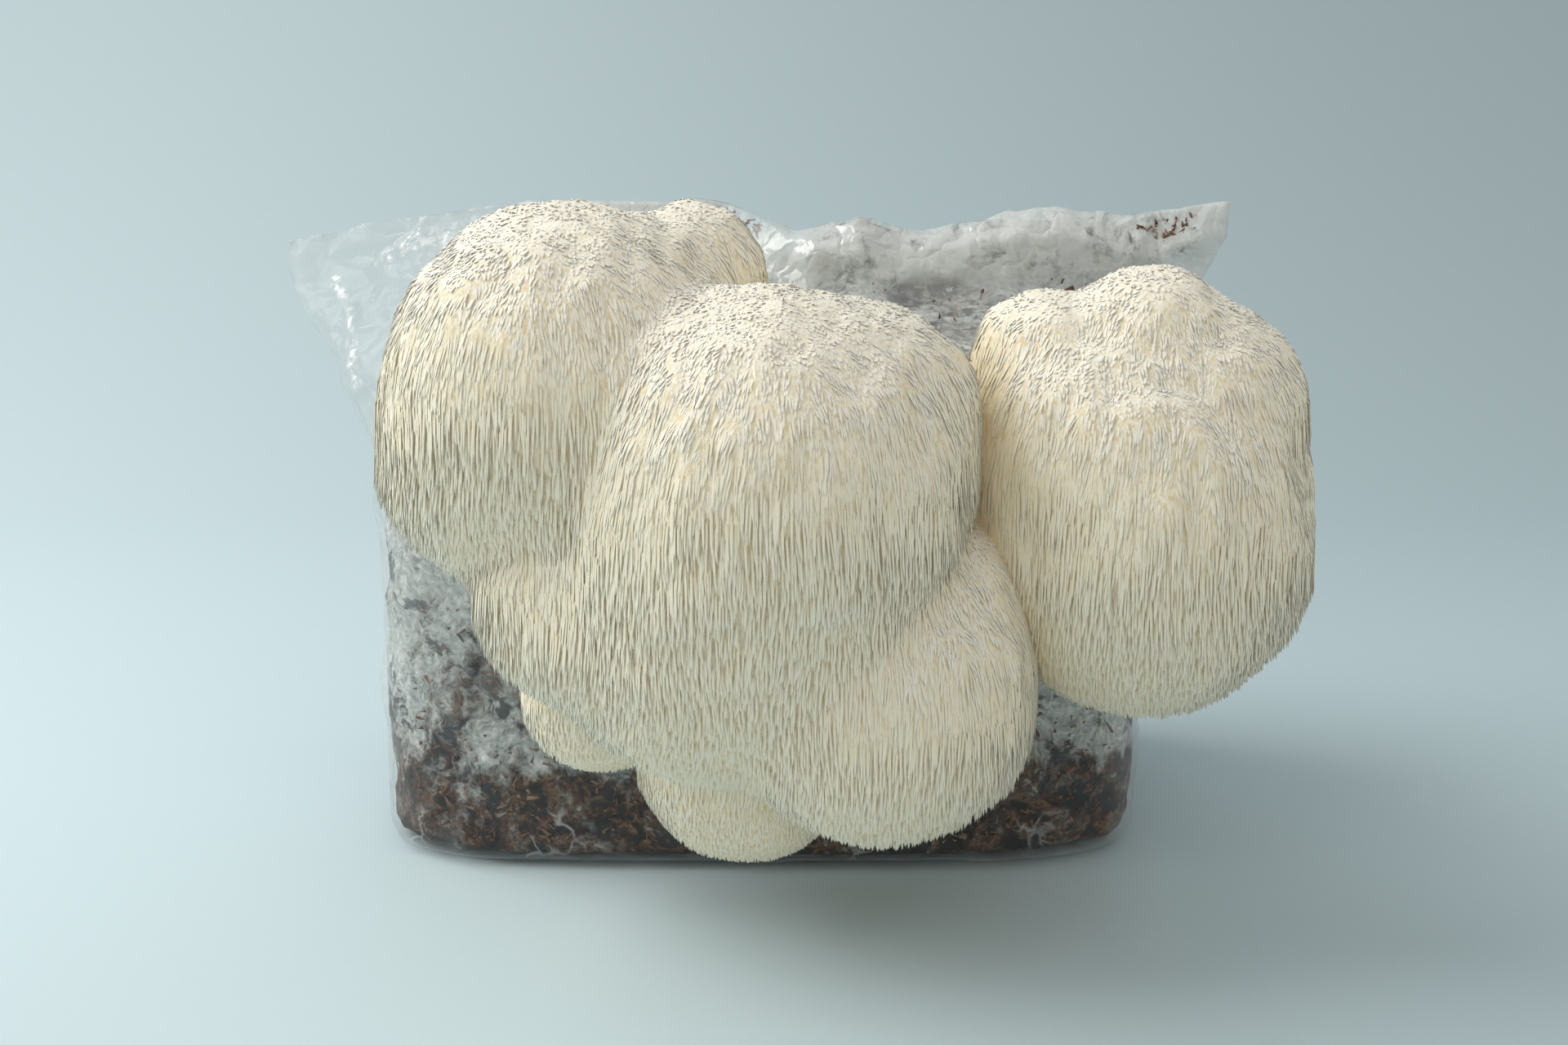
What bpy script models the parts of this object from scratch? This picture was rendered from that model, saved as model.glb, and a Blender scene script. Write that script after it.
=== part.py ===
"""Lion's mane mushroom growing from the front of its bagged sawdust block.

Units are metres and +Z is up. The origin is the middle of the bag's flat underside,
on the surface that the block stands on. The mushroom's face looks along -Y.
"""
import math

import bmesh
import bpy
import numpy as np
from mathutils import Matrix, Vector
from mathutils.bvhtree import BVHTree

COLLECTION_NAME = "lions_mane_mushroom"
CUTTER_COLLECTION_NAME = "cutters"

# Grow bag and block: an 8 by 5 inch gusseted bag, filled, with its top drawn in to a ridge
BLOCK_HALF_WIDTH = 0.110
BLOCK_HALF_DEPTH = 0.070
RIDGE_HEIGHT = 0.178
SHOULDER_HEIGHT = 0.100
TOP_SHAPING_HEIGHT = 0.118
FILM_THICKNESS = 0.0006
FILM_GAP = 0.0019
FILM_EDGE_HALF = 0.0006
BOTTOM_EDGE_RADIUS = 0.006
BLOCK_LEFT_TOP_DROP = 0.020
BLOCK_RIGHT_TOP_DROP = 0.0015
BLOCK_END_HALF_THICKNESS = 0.0035
BLOCK_LEFT_REACH = 0.1000
BLOCK_RIGHT_REACH = 0.1190
BODY_SQUARENESS = 4.5
BODY_ROUNDNESS = 0.20
EAR_SQUARENESS = 2.6
EAR_ROUNDNESS = 0.75
FLAP_LEAN = 0.016
ROLL_LEAN = 0.004
FLAP_END_X = -0.012
ROLL_START_X = 0.016

# Reach of the bag's sides at heights: they open into a flat ear at each end of the ridge
LEFT_REACH = (
    (0.108, 0.1100),
    (0.124, 0.1200),
    (0.140, 0.1300),
    (0.151, 0.1350),
    (0.166, 0.1410),
    (0.178, 0.1480),
)
RIGHT_REACH = (
    (0.110, 0.1100),
    (0.130, 0.1165),
    (0.154, 0.1295),
    (0.168, 0.1360),
    (0.178, 0.1365),
)

# Half depth of the bag at heights: the left top is an empty flap, the right a stuffed roll
LEFT_DEPTHS = (
    (0.000, BLOCK_HALF_DEPTH),
    (0.100, 0.0655),
    (0.124, 0.0600),
    (0.140, 0.0450),
    (0.151, 0.0290),
    (0.157, 0.0170),
    (0.164, 0.0070),
    (0.171, 0.0030),
    (0.178, 0.0022),
)
RIGHT_DEPTHS = (
    (0.000, BLOCK_HALF_DEPTH),
    (0.100, 0.0655),
    (0.124, 0.0610),
    (0.140, 0.0490),
    (0.151, 0.0320),
    (0.157, 0.0145),
    (0.164, 0.0130),
    (0.171, 0.0120),
    (0.176, 0.0080),
    (0.178, 0.0040),
)

# Height of the bag's top edge along the width, with a notch where flap and roll meet
TOP_EDGE = (
    (-0.146, 0.1655),
    (-0.121, 0.1705),
    (-0.087, 0.1765),
    (-0.068, 0.1790),
    (-0.010, 0.1780),
    (0.009, 0.1700),
    (0.028, 0.1775),
    (0.045, 0.1730),
    (0.073, 0.1770),
    (0.089, 0.1770),
    (0.105, 0.1745),
    (0.125, 0.1780),
    (0.136, 0.1785),
)

SECTION_HEIGHTS = (
    0.0, 0.006, 0.100, 0.124, 0.140, 0.151, 0.157, 0.164, 0.171, 0.176, 0.178,
)
SECTION_COLUMNS = 18

# The torn opening in the front of the bag, which the pom-poms grew out of
OPENING_CENTRE = (0.034, 0.100)
OPENING_HALF_SIZE = (0.066, 0.034)
OPENING_CUT_FRONT_Y = -0.100
OPENING_CUT_BACK_Y = -0.040

# Pom-poms: centre and half sizes of the flesh, under the spines
CLUMP_LOBES = {
    "centre": ((0.0065, -0.1270, 0.1225), (0.0435, 0.0440, 0.0440)),
    "centre_shoulder": ((0.0335, -0.1230, 0.1415), (0.0160, 0.0200, 0.0160)),
    "centre_left": ((-0.0275, -0.1150, 0.1170), (0.0240, 0.0260, 0.0250)),
    "left_cheek": ((-0.0425, -0.1120, 0.0925), (0.0250, 0.0270, 0.0250)),
    "centre_low": ((-0.0130, -0.1190, 0.0830), (0.0310, 0.0330, 0.0330)),
    "upper_left": ((-0.0474, -0.1070, 0.1435), (0.0405, 0.0410, 0.0410)),
    "upper_left_low": ((-0.0635, -0.1050, 0.1245), (0.0250, 0.0260, 0.0280)),
    "upper_left_knob": ((-0.0160, -0.0880, 0.1680), (0.0150, 0.0150, 0.0145)),
    "lower_right": ((0.0305, -0.1240, 0.0695), (0.0345, 0.0350, 0.0345)),
    "lower_right_top": ((0.0446, -0.1170, 0.0900), (0.0190, 0.0190, 0.0190)),
    "heart": ((-0.0080, -0.0960, 0.1080), (0.0400, 0.0260, 0.0340)),
}
RIGHT_LOBES = {
    "right": ((0.0955, -0.1080, 0.1078), (0.0390, 0.0400, 0.0450)),
    "right_shoulder": ((0.0705, -0.1030, 0.1475), (0.0155, 0.0170, 0.0150)),
    "right_lump": ((0.0960, -0.1040, 0.1515), (0.0195, 0.0200, 0.0175)),
    "right_corner": ((0.1130, -0.1050, 0.1385), (0.0195, 0.0240, 0.0195)),
    "right_middle": ((0.0800, -0.1060, 0.1270), (0.0270, 0.0320, 0.0270)),
}
LOWER_LEFT_LOBES = {
    "lower_left": ((-0.0410, -0.0950, 0.0600), (0.0185, 0.0190, 0.0180)),
}
BOTTOM_LOBES = {
    "bottom": ((-0.0045, -0.1000, 0.0450), (0.0262, 0.0250, 0.0262)),
}

# The creases between lobes that grew together are softened by this much
SOFTEN_FACTOR = 0.5
SOFTEN_PASSES = 3

# Thick bases that run back through the opening to the block
CLUMP_BASE = {"x": 0.008, "z": 0.100, "radius": 0.029}
RIGHT_BASE = {"x": 0.078, "z": 0.104, "radius": 0.013}
BASE_FRONT_Y = -0.100
BASE_BACK_Y = -0.050

# Hanging spines, gathered in locks: one lock on each face of the flesh
LOCK_PITCH = 0.0086
SIDE_STANDOFF = 0.0038
SIDE_DROP = 0.0085
TOP_STANDOFF = 0.0028
UNDER_DROP = 0.0048
BAG_GAP = 0.0005
POM_POM_GAP = 0.0011
SMALL_DROP = 0.0050
LOCK_UNEVENNESS = 0.15
LOCK_CLEARANCE = 0.0045
NEIGHBOUR_CLEARANCE = 0.0080

# Colours, roughness
FLESH_COLOUR = (0.86, 0.80, 0.66, 1.0)
FILM_COLOUR = (0.80, 0.83, 0.84, 1.0)
SUBSTRATE_COLOUR = (0.42, 0.36, 0.30, 1.0)


def clear_scene():
    for old in list(bpy.data.objects):
        bpy.data.objects.remove(old, do_unlink=True)


def make_collection(name):
    collection = bpy.data.collections.new(name)
    bpy.context.scene.collection.children.link(collection)
    return collection


def make_material(name, colour, roughness):
    material = bpy.data.materials.new(name)
    material.use_nodes = True
    shader = material.node_tree.nodes["Principled BSDF"]
    shader.inputs["Base Color"].default_value = colour
    shader.inputs["Roughness"].default_value = roughness
    shader.inputs["Metallic"].default_value = 0.0
    return material


def object_from_bmesh(shape, name, collection, material=None):
    mesh = bpy.data.meshes.new(name)
    bmesh.ops.recalc_face_normals(shape, faces=shape.faces)
    shape.to_mesh(mesh)
    shape.free()
    made = bpy.data.objects.new(name, mesh)
    collection.objects.link(made)
    if material is not None:
        mesh.materials.append(material)
    return made


def hide_cutter(cutter):
    cutter.hide_render = True
    cutter.display_type = "WIRE"


def bake_modifiers(made):
    """Replaces an object's mesh with the shape its modifiers give."""
    depsgraph = bpy.context.evaluated_depsgraph_get()
    old_mesh = made.data
    made.data = bpy.data.meshes.new_from_object(made.evaluated_get(depsgraph))
    made.modifiers.clear()
    bpy.data.meshes.remove(old_mesh)


def cut_or_join(made, other, operation):
    boolean = made.modifiers.new(operation.lower(), "BOOLEAN")
    boolean.operation = operation
    boolean.solver = "EXACT"
    boolean.object = other
    bake_modifiers(made)


def smooth_step(value, start, end):
    part = min(max((value - start) / (end - start), 0.0), 1.0)
    return part * part * (3.0 - 2.0 * part)


def blend(start, end, part):
    return start + (end - start) * part


def read_off(points, place):
    """Reads a profile, given as pairs, at a place between its points."""
    return float(np.interp(place, [pair[0] for pair in points], [pair[1] for pair in points]))


# The bag's outer form, which the film and the block share

def rise(height):
    """0 at the shoulders, where the bag starts to draw in, and 1 at the ridge."""
    part = (height - SHOULDER_HEIGHT) / (RIDGE_HEIGHT - SHOULDER_HEIGHT)
    return min(max(part, 0.0), 1.0)


def roll_share(x):
    """0 across the empty flap at the left and 1 across the stuffed roll at the right."""
    return smooth_step(x, FLAP_END_X, ROLL_START_X)


def side_reach(height, side):
    """Half width of the bag at a height, on the left (-1) or the right (+1)."""
    return read_off(LEFT_REACH if side < 0 else RIGHT_REACH, height)


def half_thickness(x, height):
    """Half depth of the bag at a place across its width and a height."""
    part = rise(height)
    side = -1 if x < 0 else 1
    across = min(abs(x) / side_reach(height, side), 1.0)
    left_depth = read_off(LEFT_DEPTHS, height)
    right_depth = read_off(RIGHT_DEPTHS, height)
    depth = blend(left_depth, right_depth, roll_share(x))
    squareness = blend(BODY_SQUARENESS, EAR_SQUARENESS, part)
    roundness = blend(BODY_ROUNDNESS, EAR_ROUNDNESS, part)
    return depth * (1.0 - across ** squareness) ** roundness


def ridge_lean(x, height):
    """How far back the drawn-in top stands, more for the thin left flap."""
    return blend(FLAP_LEAN, ROLL_LEAN, roll_share(x)) * rise(height) ** 2


def last_place(height, side, least_half, limit):
    """The place nearest a side where the bag is still as thick as asked."""
    low = 0.0
    high = limit
    for _ in range(40):
        middle = 0.5 * (low + high)
        if half_thickness(side * middle, height) >= least_half:
            low = middle
        else:
            high = middle
    return low


def section_places(height):
    """Places across one section of the outside, spaced evenly along its curved front."""
    left = last_place(height, -1, FILM_EDGE_HALF, side_reach(height, -1))
    right = last_place(height, 1, FILM_EDGE_HALF, side_reach(height, 1))
    fine = np.linspace(-1.0, 1.0, 1201)
    spread = np.sign(fine) * (1.0 - (1.0 - np.abs(fine)) ** 2.5)
    places = np.where(spread < 0, spread * left, spread * right)
    depths = np.array([half_thickness(x, height) for x in places])
    steps = np.hypot(np.diff(places), np.diff(depths))
    along = np.concatenate([[0.0], np.cumsum(steps)])
    wanted = np.linspace(0.0, along[-1], SECTION_COLUMNS + 1)
    return np.interp(wanted, along, places)


def bag_form(inset, edge_half=FILM_EDGE_HALF, left_drop=0.0, right_drop=0.0, limits=(1.0, 1.0)):
    """A closed loft of the bag's sections, set in from its outside by an inset.

    Every form has its columns at matching places, so that nested forms have parallel faces.
    """
    shape = bmesh.new()
    rings = []
    for height in SECTION_HEIGHTS:
        corner = max(0.0, 1.0 - height / BOTTOM_EDGE_RADIUS)
        edge_inset = BOTTOM_EDGE_RADIUS * (1.0 - math.sqrt(max(0.0, 1.0 - corner * corner)))
        outside = section_places(height)
        ends = {
            -1: min(limits[0], last_place(height, -1, inset + edge_half, -outside[0])),
            1: min(limits[1], last_place(height, 1, inset + edge_half, outside[-1])),
        }
        upper = smooth_step(height, TOP_SHAPING_HEIGHT, RIDGE_HEIGHT)
        front = []
        back = []
        for outside_x in outside:
            side = -1 if outside_x < 0 else 1
            reach = -outside[0] if side < 0 else outside[-1]
            source_x = outside_x * ends[side] / reach
            x = source_x * (1.0 - (inset + edge_inset) / BLOCK_HALF_WIDTH)
            depth = half_thickness(source_x, height) - inset
            depth = depth * (1.0 - edge_inset / BLOCK_HALF_DEPTH)
            top_drop = blend(left_drop, right_drop, roll_share(x))
            z = height + (read_off(TOP_EDGE, x) - RIDGE_HEIGHT - top_drop) * upper
            z = z + blend(inset, -inset, upper)
            middle = ridge_lean(x, height)
            front.append(shape.verts.new((x, middle - depth, z)))
            back.append(shape.verts.new((x, middle + depth, z)))
        rings.append(front + back[::-1])
    count = len(rings[0])
    for lower, upper_ring in zip(rings[:-1], rings[1:]):
        for i in range(count):
            j = (i + 1) % count
            shape.faces.new((lower[i], lower[j], upper_ring[j], upper_ring[i]))
    for ring in (rings[0], rings[-1]):
        for i in range(SECTION_COLUMNS):
            shape.faces.new((ring[i], ring[i + 1], ring[count - 2 - i], ring[count - 1 - i]))
    bmesh.ops.triangulate(shape, faces=shape.faces, quad_method="FIXED")
    return shape


def build_grow_bag(parts, cutters, material):
    """Film shell: the outer form less the inner one, with the torn opening in front."""
    bag = object_from_bmesh(bag_form(0.0), "grow_bag", parts, material)
    inner = bag_form(FILM_THICKNESS)
    inside = object_from_bmesh(inner, "bag_inside", cutters)
    cut_or_join(bag, inside, "DIFFERENCE")
    cut_middle = 0.5 * (OPENING_CUT_FRONT_Y + OPENING_CUT_BACK_Y)
    opening = bmesh.new()
    bmesh.ops.create_cone(
        opening,
        cap_ends=True,
        segments=28,
        radius1=1.0,
        radius2=1.0,
        depth=OPENING_CUT_BACK_Y - OPENING_CUT_FRONT_Y,
        matrix=Matrix.Translation((OPENING_CENTRE[0], cut_middle, OPENING_CENTRE[1]))
        @ Matrix.Diagonal((OPENING_HALF_SIZE[0], 1.0, OPENING_HALF_SIZE[1], 1.0))
        @ Matrix.Rotation(math.pi / 2, 4, "X"),
    )
    hole = object_from_bmesh(opening, "bag_opening", cutters)
    cut_or_join(bag, hole, "DIFFERENCE")
    hide_cutter(inside)
    hide_cutter(hole)
    bag.data.shade_smooth()
    bag.data.set_sharp_from_angle(angle=math.radians(50))
    return bag


def build_substrate_block(parts, material):
    """The lump of sawdust and mycelium, a little inside the film all over."""
    form = bag_form(
        FILM_THICKNESS + FILM_GAP,
        BLOCK_END_HALF_THICKNESS,
        left_drop=BLOCK_LEFT_TOP_DROP,
        right_drop=BLOCK_RIGHT_TOP_DROP,
        limits=(BLOCK_LEFT_REACH, BLOCK_RIGHT_REACH),
    )
    block = object_from_bmesh(form, "substrate_block", parts, material)
    block.data.shade_smooth()
    block.data.set_sharp_from_angle(angle=math.radians(50))
    return block


# Pom-poms: rounded flesh with a hanging lock of spines on each face

def surface_tree(made):
    return BVHTree.FromPolygons(
        [vertex.co for vertex in made.data.vertices],
        [tuple(polygon.vertices) for polygon in made.data.polygons],
    )


def signed_distance(tree, point):
    """Distance from a point to a closed skin, negative inside it."""
    place, normal, _, distance = tree.find_nearest(point)
    return distance if normal.dot(point - place) > 0.0 else -distance


def bag_distance(point):
    """Rough distance in front of the bag, large where the bag isn't behind the point."""
    side = -1 if point.x < 0 else 1
    if point.z > RIDGE_HEIGHT or abs(point.x) > side_reach(point.z, side):
        return 1.0
    return -point.y - half_thickness(point.x, point.z) + ridge_lean(point.x, point.z)


def lobes_shape(lobes):
    shape = bmesh.new()
    for centre, sizes in lobes.values():
        bmesh.ops.create_uvsphere(
            shape,
            u_segments=32,
            v_segments=16,
            radius=1.0,
            matrix=Matrix.Translation(centre) @ Matrix.Diagonal((*sizes, 1.0)),
        )
    return shape


def grown_together(name, lobes, parts, material):
    """Joins overlapping lobes in one skin of even faces and softens the creases."""
    flesh = object_from_bmesh(lobes_shape(lobes), name, parts, material)
    remesh = flesh.modifiers.new("even_faces", "REMESH")
    remesh.mode = "VOXEL"
    remesh.voxel_size = LOCK_PITCH
    soften = flesh.modifiers.new("soften", "SMOOTH")
    soften.factor = SOFTEN_FACTOR
    soften.iterations = SOFTEN_PASSES
    bake_modifiers(flesh)
    flesh.data.materials.clear()
    flesh.data.materials.append(material)
    return flesh


def base_cylinder(name, base, inner_form, cutters):
    """The thick base from inside a pom-pom back to the block's face."""
    shape = bmesh.new()
    bmesh.ops.create_cone(
        shape,
        cap_ends=True,
        segments=20,
        radius1=base["radius"],
        radius2=base["radius"],
        depth=BASE_BACK_Y - BASE_FRONT_Y,
        matrix=Matrix.Translation((base["x"], 0.5 * (BASE_FRONT_Y + BASE_BACK_Y), base["z"]))
        @ Matrix.Rotation(math.pi / 2, 4, "X"),
    )
    stub = object_from_bmesh(shape, name, cutters)
    cut_or_join(stub, inner_form, "DIFFERENCE")
    hide_cutter(stub)
    return stub


def lock_tip(face, own_drop):
    """Where a face's lock ends: stubby and outward on top, long and hanging at the sides."""
    centre = face.calc_center_median()
    normal = face.normal
    up = normal.z
    side = max(0.0, 1.0 - up * up)
    if up > 0.0:
        out = blend(SIDE_STANDOFF, TOP_STANDOFF, up)
        drop = own_drop * side
    else:
        out = blend(SIDE_STANDOFF, 0.0, -up)
        drop = blend(own_drop, UNDER_DROP, -up)
    ripple = 1.0 + LOCK_UNEVENNESS * math.sin(centre.x * 910.0 + centre.z * 730.0)
    return centre + normal * out * ripple + Vector((0.0, 0.0, -drop * ripple))


def hang_locks(flesh, neighbours, clearance, own_drop=SIDE_DROP):
    """Raises a pointed lock on every free face, four triangles each."""
    shape = bmesh.new()
    shape.from_mesh(flesh.data)
    bmesh.ops.recalc_face_normals(shape, faces=shape.faces)
    shape.normal_update()
    free_faces = []
    tips = []
    for face in shape.faces:
        if len(face.verts) != 4:
            continue
        centre = face.calc_center_median()
        tip = lock_tip(face, own_drop)
        if min(bag_distance(centre), bag_distance(tip)) < LOCK_CLEARANCE:
            continue
        if min([signed_distance(tree, tip) for tree in neighbours]) < clearance:
            continue
        free_faces.append(face)
        tips.append(tip)
    poked = bmesh.ops.poke(shape, faces=free_faces)
    for vertex, tip in zip(poked["verts"], tips):
        vertex.co = tip
    bmesh.ops.triangulate(shape, faces=shape.faces)
    shape.to_mesh(flesh.data)
    shape.free()


def contact_side(pom_pom, name, cutters):
    """A pom-pom's flesh, a hair larger, to cut its neighbours with."""
    side = bpy.data.objects.new(name, pom_pom.data.copy())
    cutters.objects.link(side)
    swell = side.modifiers.new("contact_gap", "DISPLACE")
    swell.strength = POM_POM_GAP
    swell.mid_level = 0.0
    bake_modifiers(side)
    hide_cutter(side)
    return side


def build_pom_poms(parts, cutters, material):
    inner = object_from_bmesh(bag_form(FILM_THICKNESS), "base_end", cutters)
    outer = object_from_bmesh(bag_form(-BAG_GAP), "bag_side", cutters)
    hide_cutter(inner)
    hide_cutter(outer)

    clump = grown_together("main_clump", CLUMP_LOBES, parts, material)
    right = grown_together("right_pom_pom", RIGHT_LOBES, parts, material)
    lower_left = grown_together("lower_left_pom_pom", LOWER_LEFT_LOBES, parts, material)
    bottom = grown_together("bottom_pom_pom", BOTTOM_LOBES, parts, material)

    clump_side = contact_side(clump, "clump_side", cutters)
    bottom_side = contact_side(bottom, "bottom_side", cutters)
    for pom_pom in (right, lower_left, bottom):
        cut_or_join(pom_pom, clump_side, "DIFFERENCE")
    cut_or_join(lower_left, bottom_side, "DIFFERENCE")
    for pom_pom in (clump, right, lower_left, bottom):
        cut_or_join(pom_pom, outer, "DIFFERENCE")

    clump_stub = base_cylinder("clump_base", CLUMP_BASE, inner, cutters)
    cut_or_join(clump, clump_stub, "UNION")
    right_stub = base_cylinder("right_base", RIGHT_BASE, inner, cutters)
    cut_or_join(right, right_stub, "UNION")

    clump_skin = surface_tree(clump)
    right_skin = surface_tree(right)
    lower_left_skin = surface_tree(lower_left)
    bottom_skin = surface_tree(bottom)
    hang_locks(clump, [right_skin, lower_left_skin, bottom_skin], LOCK_CLEARANCE)
    hang_locks(right, [clump_skin], NEIGHBOUR_CLEARANCE)
    hang_locks(lower_left, [clump_skin, bottom_skin], NEIGHBOUR_CLEARANCE, SMALL_DROP)
    hang_locks(bottom, [clump_skin, lower_left_skin], NEIGHBOUR_CLEARANCE, SMALL_DROP)


def build():
    clear_scene()
    parts = make_collection(COLLECTION_NAME)
    cutters = make_collection(CUTTER_COLLECTION_NAME)
    film = make_material("clear_film", FILM_COLOUR, 0.15)
    substrate = make_material("sawdust_and_mycelium", SUBSTRATE_COLOUR, 0.9)
    flesh = make_material("mushroom_flesh", FLESH_COLOUR, 0.8)
    build_substrate_block(parts, substrate)
    build_grow_bag(parts, cutters, film)
    build_pom_poms(parts, cutters, flesh)


build()
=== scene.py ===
"""The looks of a lion's mane mushroom that grows from the front of its bagged sawdust block.

Metres, +Z up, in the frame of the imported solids. The mushroom's face looks along -Y.
"""

import math

import bpy
import numpy as np
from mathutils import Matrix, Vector, noise
from mathutils.bvhtree import BVHTree
from mathutils.kdtree import KDTree


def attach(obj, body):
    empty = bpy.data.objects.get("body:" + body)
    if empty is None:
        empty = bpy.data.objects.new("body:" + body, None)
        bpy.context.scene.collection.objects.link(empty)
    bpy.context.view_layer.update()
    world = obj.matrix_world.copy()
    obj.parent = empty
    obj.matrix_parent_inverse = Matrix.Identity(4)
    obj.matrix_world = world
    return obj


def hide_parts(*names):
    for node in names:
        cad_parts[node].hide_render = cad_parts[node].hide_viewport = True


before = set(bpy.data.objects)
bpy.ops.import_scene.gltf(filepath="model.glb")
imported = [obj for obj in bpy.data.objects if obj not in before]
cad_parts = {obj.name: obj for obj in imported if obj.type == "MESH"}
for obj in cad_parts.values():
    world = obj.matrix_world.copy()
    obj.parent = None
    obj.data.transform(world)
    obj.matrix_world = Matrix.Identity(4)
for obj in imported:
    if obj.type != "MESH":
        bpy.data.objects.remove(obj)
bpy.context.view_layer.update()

# Substrate block
# A lump of hardwood sawdust, pressed into the bag and grown through with white mycelium. It
# stands loose in the bag and takes the bag's form: upright sides, a top that is drawn in to a
# ridge, and a bottom edge where the sawdust is still bare and dark.

BLOCK_HALF_WIDTH = 0.110
BLOCK_HALF_DEPTH = 0.070
BOTTOM_EDGE_RADIUS = 0.006
SHOULDER_HEIGHT = 0.100
TOP_SHAPING_HEIGHT = 0.118
RIDGE_HEIGHT = 0.178
FLAP_END_X = -0.012
ROLL_START_X = 0.016
FLAP_LEAN = 0.016
ROLL_LEAN = 0.004
BODY_SQUARENESS = 4.5
EAR_SQUARENESS = 2.6
BODY_ROUNDNESS = 0.20
EAR_ROUNDNESS = 0.75

# Reach of the sides, half depth of the flap and of the roll, and height of the top edge
LEFT_REACH = (
    (0.108, 0.1100), (0.124, 0.1200), (0.140, 0.1300),
    (0.151, 0.1350), (0.166, 0.1410), (0.178, 0.1480),
)
RIGHT_REACH = (
    (0.110, 0.1100), (0.130, 0.1165), (0.154, 0.1295), (0.168, 0.1360), (0.178, 0.1365),
)
LEFT_DEPTHS = (
    (0.000, 0.0700), (0.100, 0.0655), (0.124, 0.0600), (0.140, 0.0450), (0.151, 0.0290),
    (0.157, 0.0170), (0.164, 0.0070), (0.171, 0.0030), (0.178, 0.0022),
)
RIGHT_DEPTHS = (
    (0.000, 0.0700), (0.100, 0.0655), (0.124, 0.0610), (0.140, 0.0490), (0.151, 0.0320),
    (0.157, 0.0145), (0.164, 0.0130), (0.171, 0.0120), (0.176, 0.0080), (0.178, 0.0040),
)
TOP_EDGE = (
    (-0.146, 0.1655), (-0.121, 0.1705), (-0.087, 0.1765), (-0.068, 0.1790), (-0.010, 0.1780),
    (0.009, 0.1700), (0.028, 0.1775), (0.045, 0.1730), (0.073, 0.1770), (0.089, 0.1770),
    (0.105, 0.1745), (0.125, 0.1780), (0.136, 0.1785),
)

BLOCK_INSET = 0.0024
BLOCK_LEFT_REACH = ((0.095, 0.1100), (0.125, 0.1000))
BLOCK_RIGHT_REACH = ((0.100, 0.1190),)
BLOCK_LEFT_TOP_DROP = 0.020
BLOCK_RIGHT_TOP_DROP = 0.0015
BLOCK_COLUMNS = 84
BLOCK_ROWS = 84
LUMP_SCALE = 70.0
LUMP_HEIGHT = 0.0018
CHIP_SCALE = 260.0
CHIP_HEIGHT = 0.0007


def smooth_step(value, start, end):
    part = np.clip((value - start) / (end - start), 0.0, 1.0)
    return part * part * (3.0 - 2.0 * part)


def blend(start, end, part):
    return start + (end - start) * part


def read_off(points, place):
    """Reads a profile, given as pairs, at places between its points."""
    places, values = np.array(points).T
    return np.interp(place, places, values)


def rise(height):
    """0 at the shoulders, where the bag starts to draw in, and 1 at the ridge."""
    return np.clip((height - SHOULDER_HEIGHT) / (RIDGE_HEIGHT - SHOULDER_HEIGHT), 0.0, 1.0)


def roll_share(x):
    """0 across the empty flap at the left and 1 across the stuffed roll at the right."""
    return smooth_step(x, FLAP_END_X, ROLL_START_X)


def bag_half_depth(x, height):
    """Half depth of the bag at places across its width, at one height."""
    reach = np.where(x < 0, read_off(LEFT_REACH, height), read_off(RIGHT_REACH, height))
    across = np.minimum(np.abs(x) / reach, 1.0)
    depth = blend(read_off(LEFT_DEPTHS, height), read_off(RIGHT_DEPTHS, height), roll_share(x))
    squareness = blend(BODY_SQUARENESS, EAR_SQUARENESS, rise(height))
    roundness = blend(BODY_ROUNDNESS, EAR_ROUNDNESS, rise(height))
    return depth * (1.0 - across ** squareness) ** roundness


def bag_lean(x, height):
    """How far back the drawn-in top stands."""
    return blend(FLAP_LEAN, ROLL_LEAN, roll_share(x)) * rise(height) ** 2


def bag_section(height, columns, limits):
    """Places across one section, spaced evenly along its curved front."""
    left = min(float(read_off(limits[0], height)), float(read_off(LEFT_REACH, height)))
    right = min(float(read_off(limits[1], height)), float(read_off(RIGHT_REACH, height)))
    fine = np.linspace(-1.0, 1.0, 1601)
    spread = np.sign(fine) * (1.0 - (1.0 - np.abs(fine)) ** 2.5)
    places = np.where(spread < 0, spread * left, spread * right)
    steps = np.hypot(np.diff(places), np.diff(bag_half_depth(places, height)))
    along = np.concatenate([[0.0], np.cumsum(steps)])
    return np.interp(np.linspace(0.0, along[-1], columns + 1), along, places)


def bag_rings(inset, columns, heights, limits, drops=(0.0, 0.0)):
    """Rings of points round the bag's form, one for each height, front first and then back."""
    rings = []
    for height in heights:
        corner = max(0.0, 1.0 - height / BOTTOM_EDGE_RADIUS)
        edge_inset = BOTTOM_EDGE_RADIUS * (1.0 - math.sqrt(max(0.0, 1.0 - corner * corner)))
        places = bag_section(height, columns, limits)
        x = places * (1.0 - (inset + edge_inset) / BLOCK_HALF_WIDTH)
        depth = np.maximum(bag_half_depth(places, height) - inset, 0.0002)
        depth = depth * (1.0 - edge_inset / BLOCK_HALF_DEPTH)
        upper = smooth_step(height, TOP_SHAPING_HEIGHT, RIDGE_HEIGHT)
        top_drop = blend(drops[0], drops[1], roll_share(x))
        z = height + (read_off(TOP_EDGE, x) - RIDGE_HEIGHT - top_drop) * upper
        z = z + blend(inset, -inset, upper)
        middle = bag_lean(x, height)
        front = np.stack([x, middle - depth, z], axis=1)
        back = np.stack([x, middle + depth, z], axis=1)
        rings.append(np.concatenate([front, back[::-1]]))
    return np.array(rings)


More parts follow.
